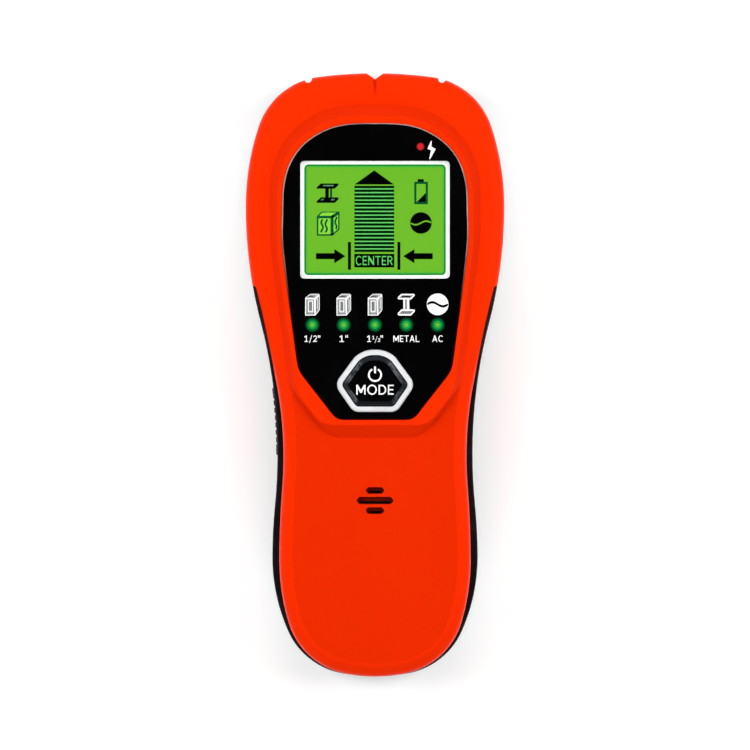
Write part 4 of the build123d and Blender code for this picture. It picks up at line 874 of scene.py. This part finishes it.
def wood_sign():
    """Block of wood with its wavy grain."""
    silhouette = [(-15.9, -4.2), (-11.7, -4.2), (-9.7, -2.5), (-9.7, 2.4), (-14.6, 2.4), (-15.9, 1.15)]
    front = [(-15.9, -4.2), (-11.7, -4.2), (-11.7, 1.0), (-15.9, 1.0)]
    lid = [(-15.8, 0.98), (-11.8, 0.98), (-9.85, 2.4), (-14.6, 2.4)]
    side = [(-11.7, -4.2), (-9.7, -2.5), (-9.7, 2.3), (-11.7, 0.85)]
    holes = [shifted(front, -0.44), shifted(lid, -0.27), shifted(side, -0.38)]
    display_mark("wood_light", [shifted(face, -0.3) for face in (front, lid, side)], DISPLAY_GLOW, -LAYER)
    display_mark("wood_sign", [silhouette] + holes, DISPLAY_SHADE, LAYER)
    upper = [(-11.9, 0.7), (-11.3, 0.7), (-11.3, 1.7), (-11.9, 1.35)]
    lower = [(-12.0, -4.1), (-11.3, -4.1), (-11.3, -3.4), (-12.0, -3.6)]
    display_mark("wood_corners", [upper, lower], DISPLAY_INK, LAYER * 2)
    grain = []
    for x in (-14.45, -13.35):
        grain.append(stroke([(px, py) for py, px in wave(-3.3, 0.3, x, 0.24, 15, 1.4, x)], 0.5))
    grain.append(stroke([(px, py) for py, px in wave(-2.4, 1.0, -10.7, 0.2, 13, 1.3)], 0.5))
    display_mark("wood_grain", grain, DISPLAY_SHADE, LAYER)


def display_picture():
    """Everything that the display shows, in millimetres from PICTURE."""
    signal_column()
    pointers()
    beam_sign()
    wood_sign()
    case = [box(10.72, 4.4, 14.45, 10.55), box(11.32, 5.0, 13.85, 9.95)]
    display_mark("battery_sign", case, DISPLAY_SHADE)
    charge = [[(11.4, 5.0), (13.85, 5.0), (13.85, 7.5)], box(11.65, 10.55, 13.35, 11.25)]
    display_mark("battery_charge", charge, DISPLAY_INK, LAYER)
    display_mark("mains_sign", at(mains_outlines(2.95, 0.42, -0.5), 12.55, -0.7), DISPLAY_INK)


# ---- stage, light and camera -----------------------------------------------------------------------


# Soft boxes: place and size in metres, and power in watts.
BOXES = {
    "left_box": ((-0.75, 0.15, 0.62), (0.5, 0.9), 7.5),
    "right_box": ((0.75, 0.15, 0.62), (0.5, 0.9), 7.5),
    "head_box": ((0.0, 0.95, 0.70), (0.9, 0.4), 6.0),
    "foot_box": ((0.0, -0.95, 0.70), (0.9, 0.4), 5.6),
}
LIT_POINT = (0.0, 0.0, 0.02)


def lamp(name, place, size, power):
    """A soft lamp that faces the object, and leaves no glare on the gloss panel from any side."""
    light = bpy.data.lights.new(name, "AREA")
    light.shape = "RECTANGLE"
    light.size, light.size_y = size
    light.energy = power
    holder = bpy.data.objects.new(name, light)
    holder.location = place
    aim = Vector(LIT_POINT) - Vector(place)
    holder.rotation_euler = aim.to_track_quat("-Z", "Y").to_euler()
    holder.visible_glossy = False
    bpy.context.scene.collection.objects.link(holder)


FLOOR_REACH = 3.0            # metres from the middle to each side


def stage_floor():
    mesh = bpy.data.meshes.new("floor")
    corners = [(x, y, 0.0) for x, y in box(-FLOOR_REACH, -FLOOR_REACH, FLOOR_REACH, FLOOR_REACH)]
    mesh.from_pydata(corners, [], [(0, 1, 2, 3)])
    mesh.materials.append(floor_white())
    floor = bpy.data.objects.new("floor", mesh)
    bpy.context.scene.collection.objects.link(floor)


SKY_FADE = (0.80, 0.97)      # sine of the elevation where the sky starts and ends getting darker
SKY_STRENGTH = (0.75, 0.03)


def sky():
    """Soft even surroundings, darker straight overhead so that gloss faces stay deep."""
    world = bpy.data.worlds.new("studio")
    bpy.context.scene.world = world
    world.use_nodes = True
    nodes, links = world.node_tree.nodes, world.node_tree.links
    place = nodes.new("ShaderNodeTexCoord")
    axes = nodes.new("ShaderNodeSeparateXYZ")
    height = nodes.new("ShaderNodeMapRange")
    height.interpolation_type = "SMOOTHSTEP"
    for socket, number in zip(height.inputs[1:5], SKY_FADE + SKY_STRENGTH):
        socket.default_value = number
    links.new(place.outputs["Generated"], axes.inputs[0])
    links.new(axes.outputs[2], height.inputs[0])
    links.new(height.outputs[0], nodes["Background"].inputs["Strength"])


def studio():
    stage_floor()
    sky()
    for name, settings in BOXES.items():
        lamp(name, *settings)
    scene = bpy.context.scene
    scene.view_settings.view_transform = "Standard"
    scene.view_settings.look = "None"
    scene.view_settings.exposure = 0.0


FRAME_WIDTH = 205.2 * MM     # width of the picture in the plane of the widest outline
OUTLINE_HEIGHT = 20.0 * MM
LENS = 1200.0                # focal length and sensor width in millimetres
SENSOR = 36.0


def camera():
    """Straight above the front face, through a long lens."""
    data = bpy.data.cameras.new("camera")
    data.lens = LENS
    data.sensor_width = SENSOR
    distance = FRAME_WIDTH * data.lens / data.sensor_width
    data.clip_start = 0.01
    data.clip_end = 20.0
    holder = bpy.data.objects.new("camera", data)
    holder.location = (0.0, 0.0, OUTLINE_HEIGHT + distance)
    bpy.context.scene.collection.objects.link(holder)
    bpy.context.scene.camera = holder


camera()
studio()
faceplate_legends()
key_legends()
display_picture()
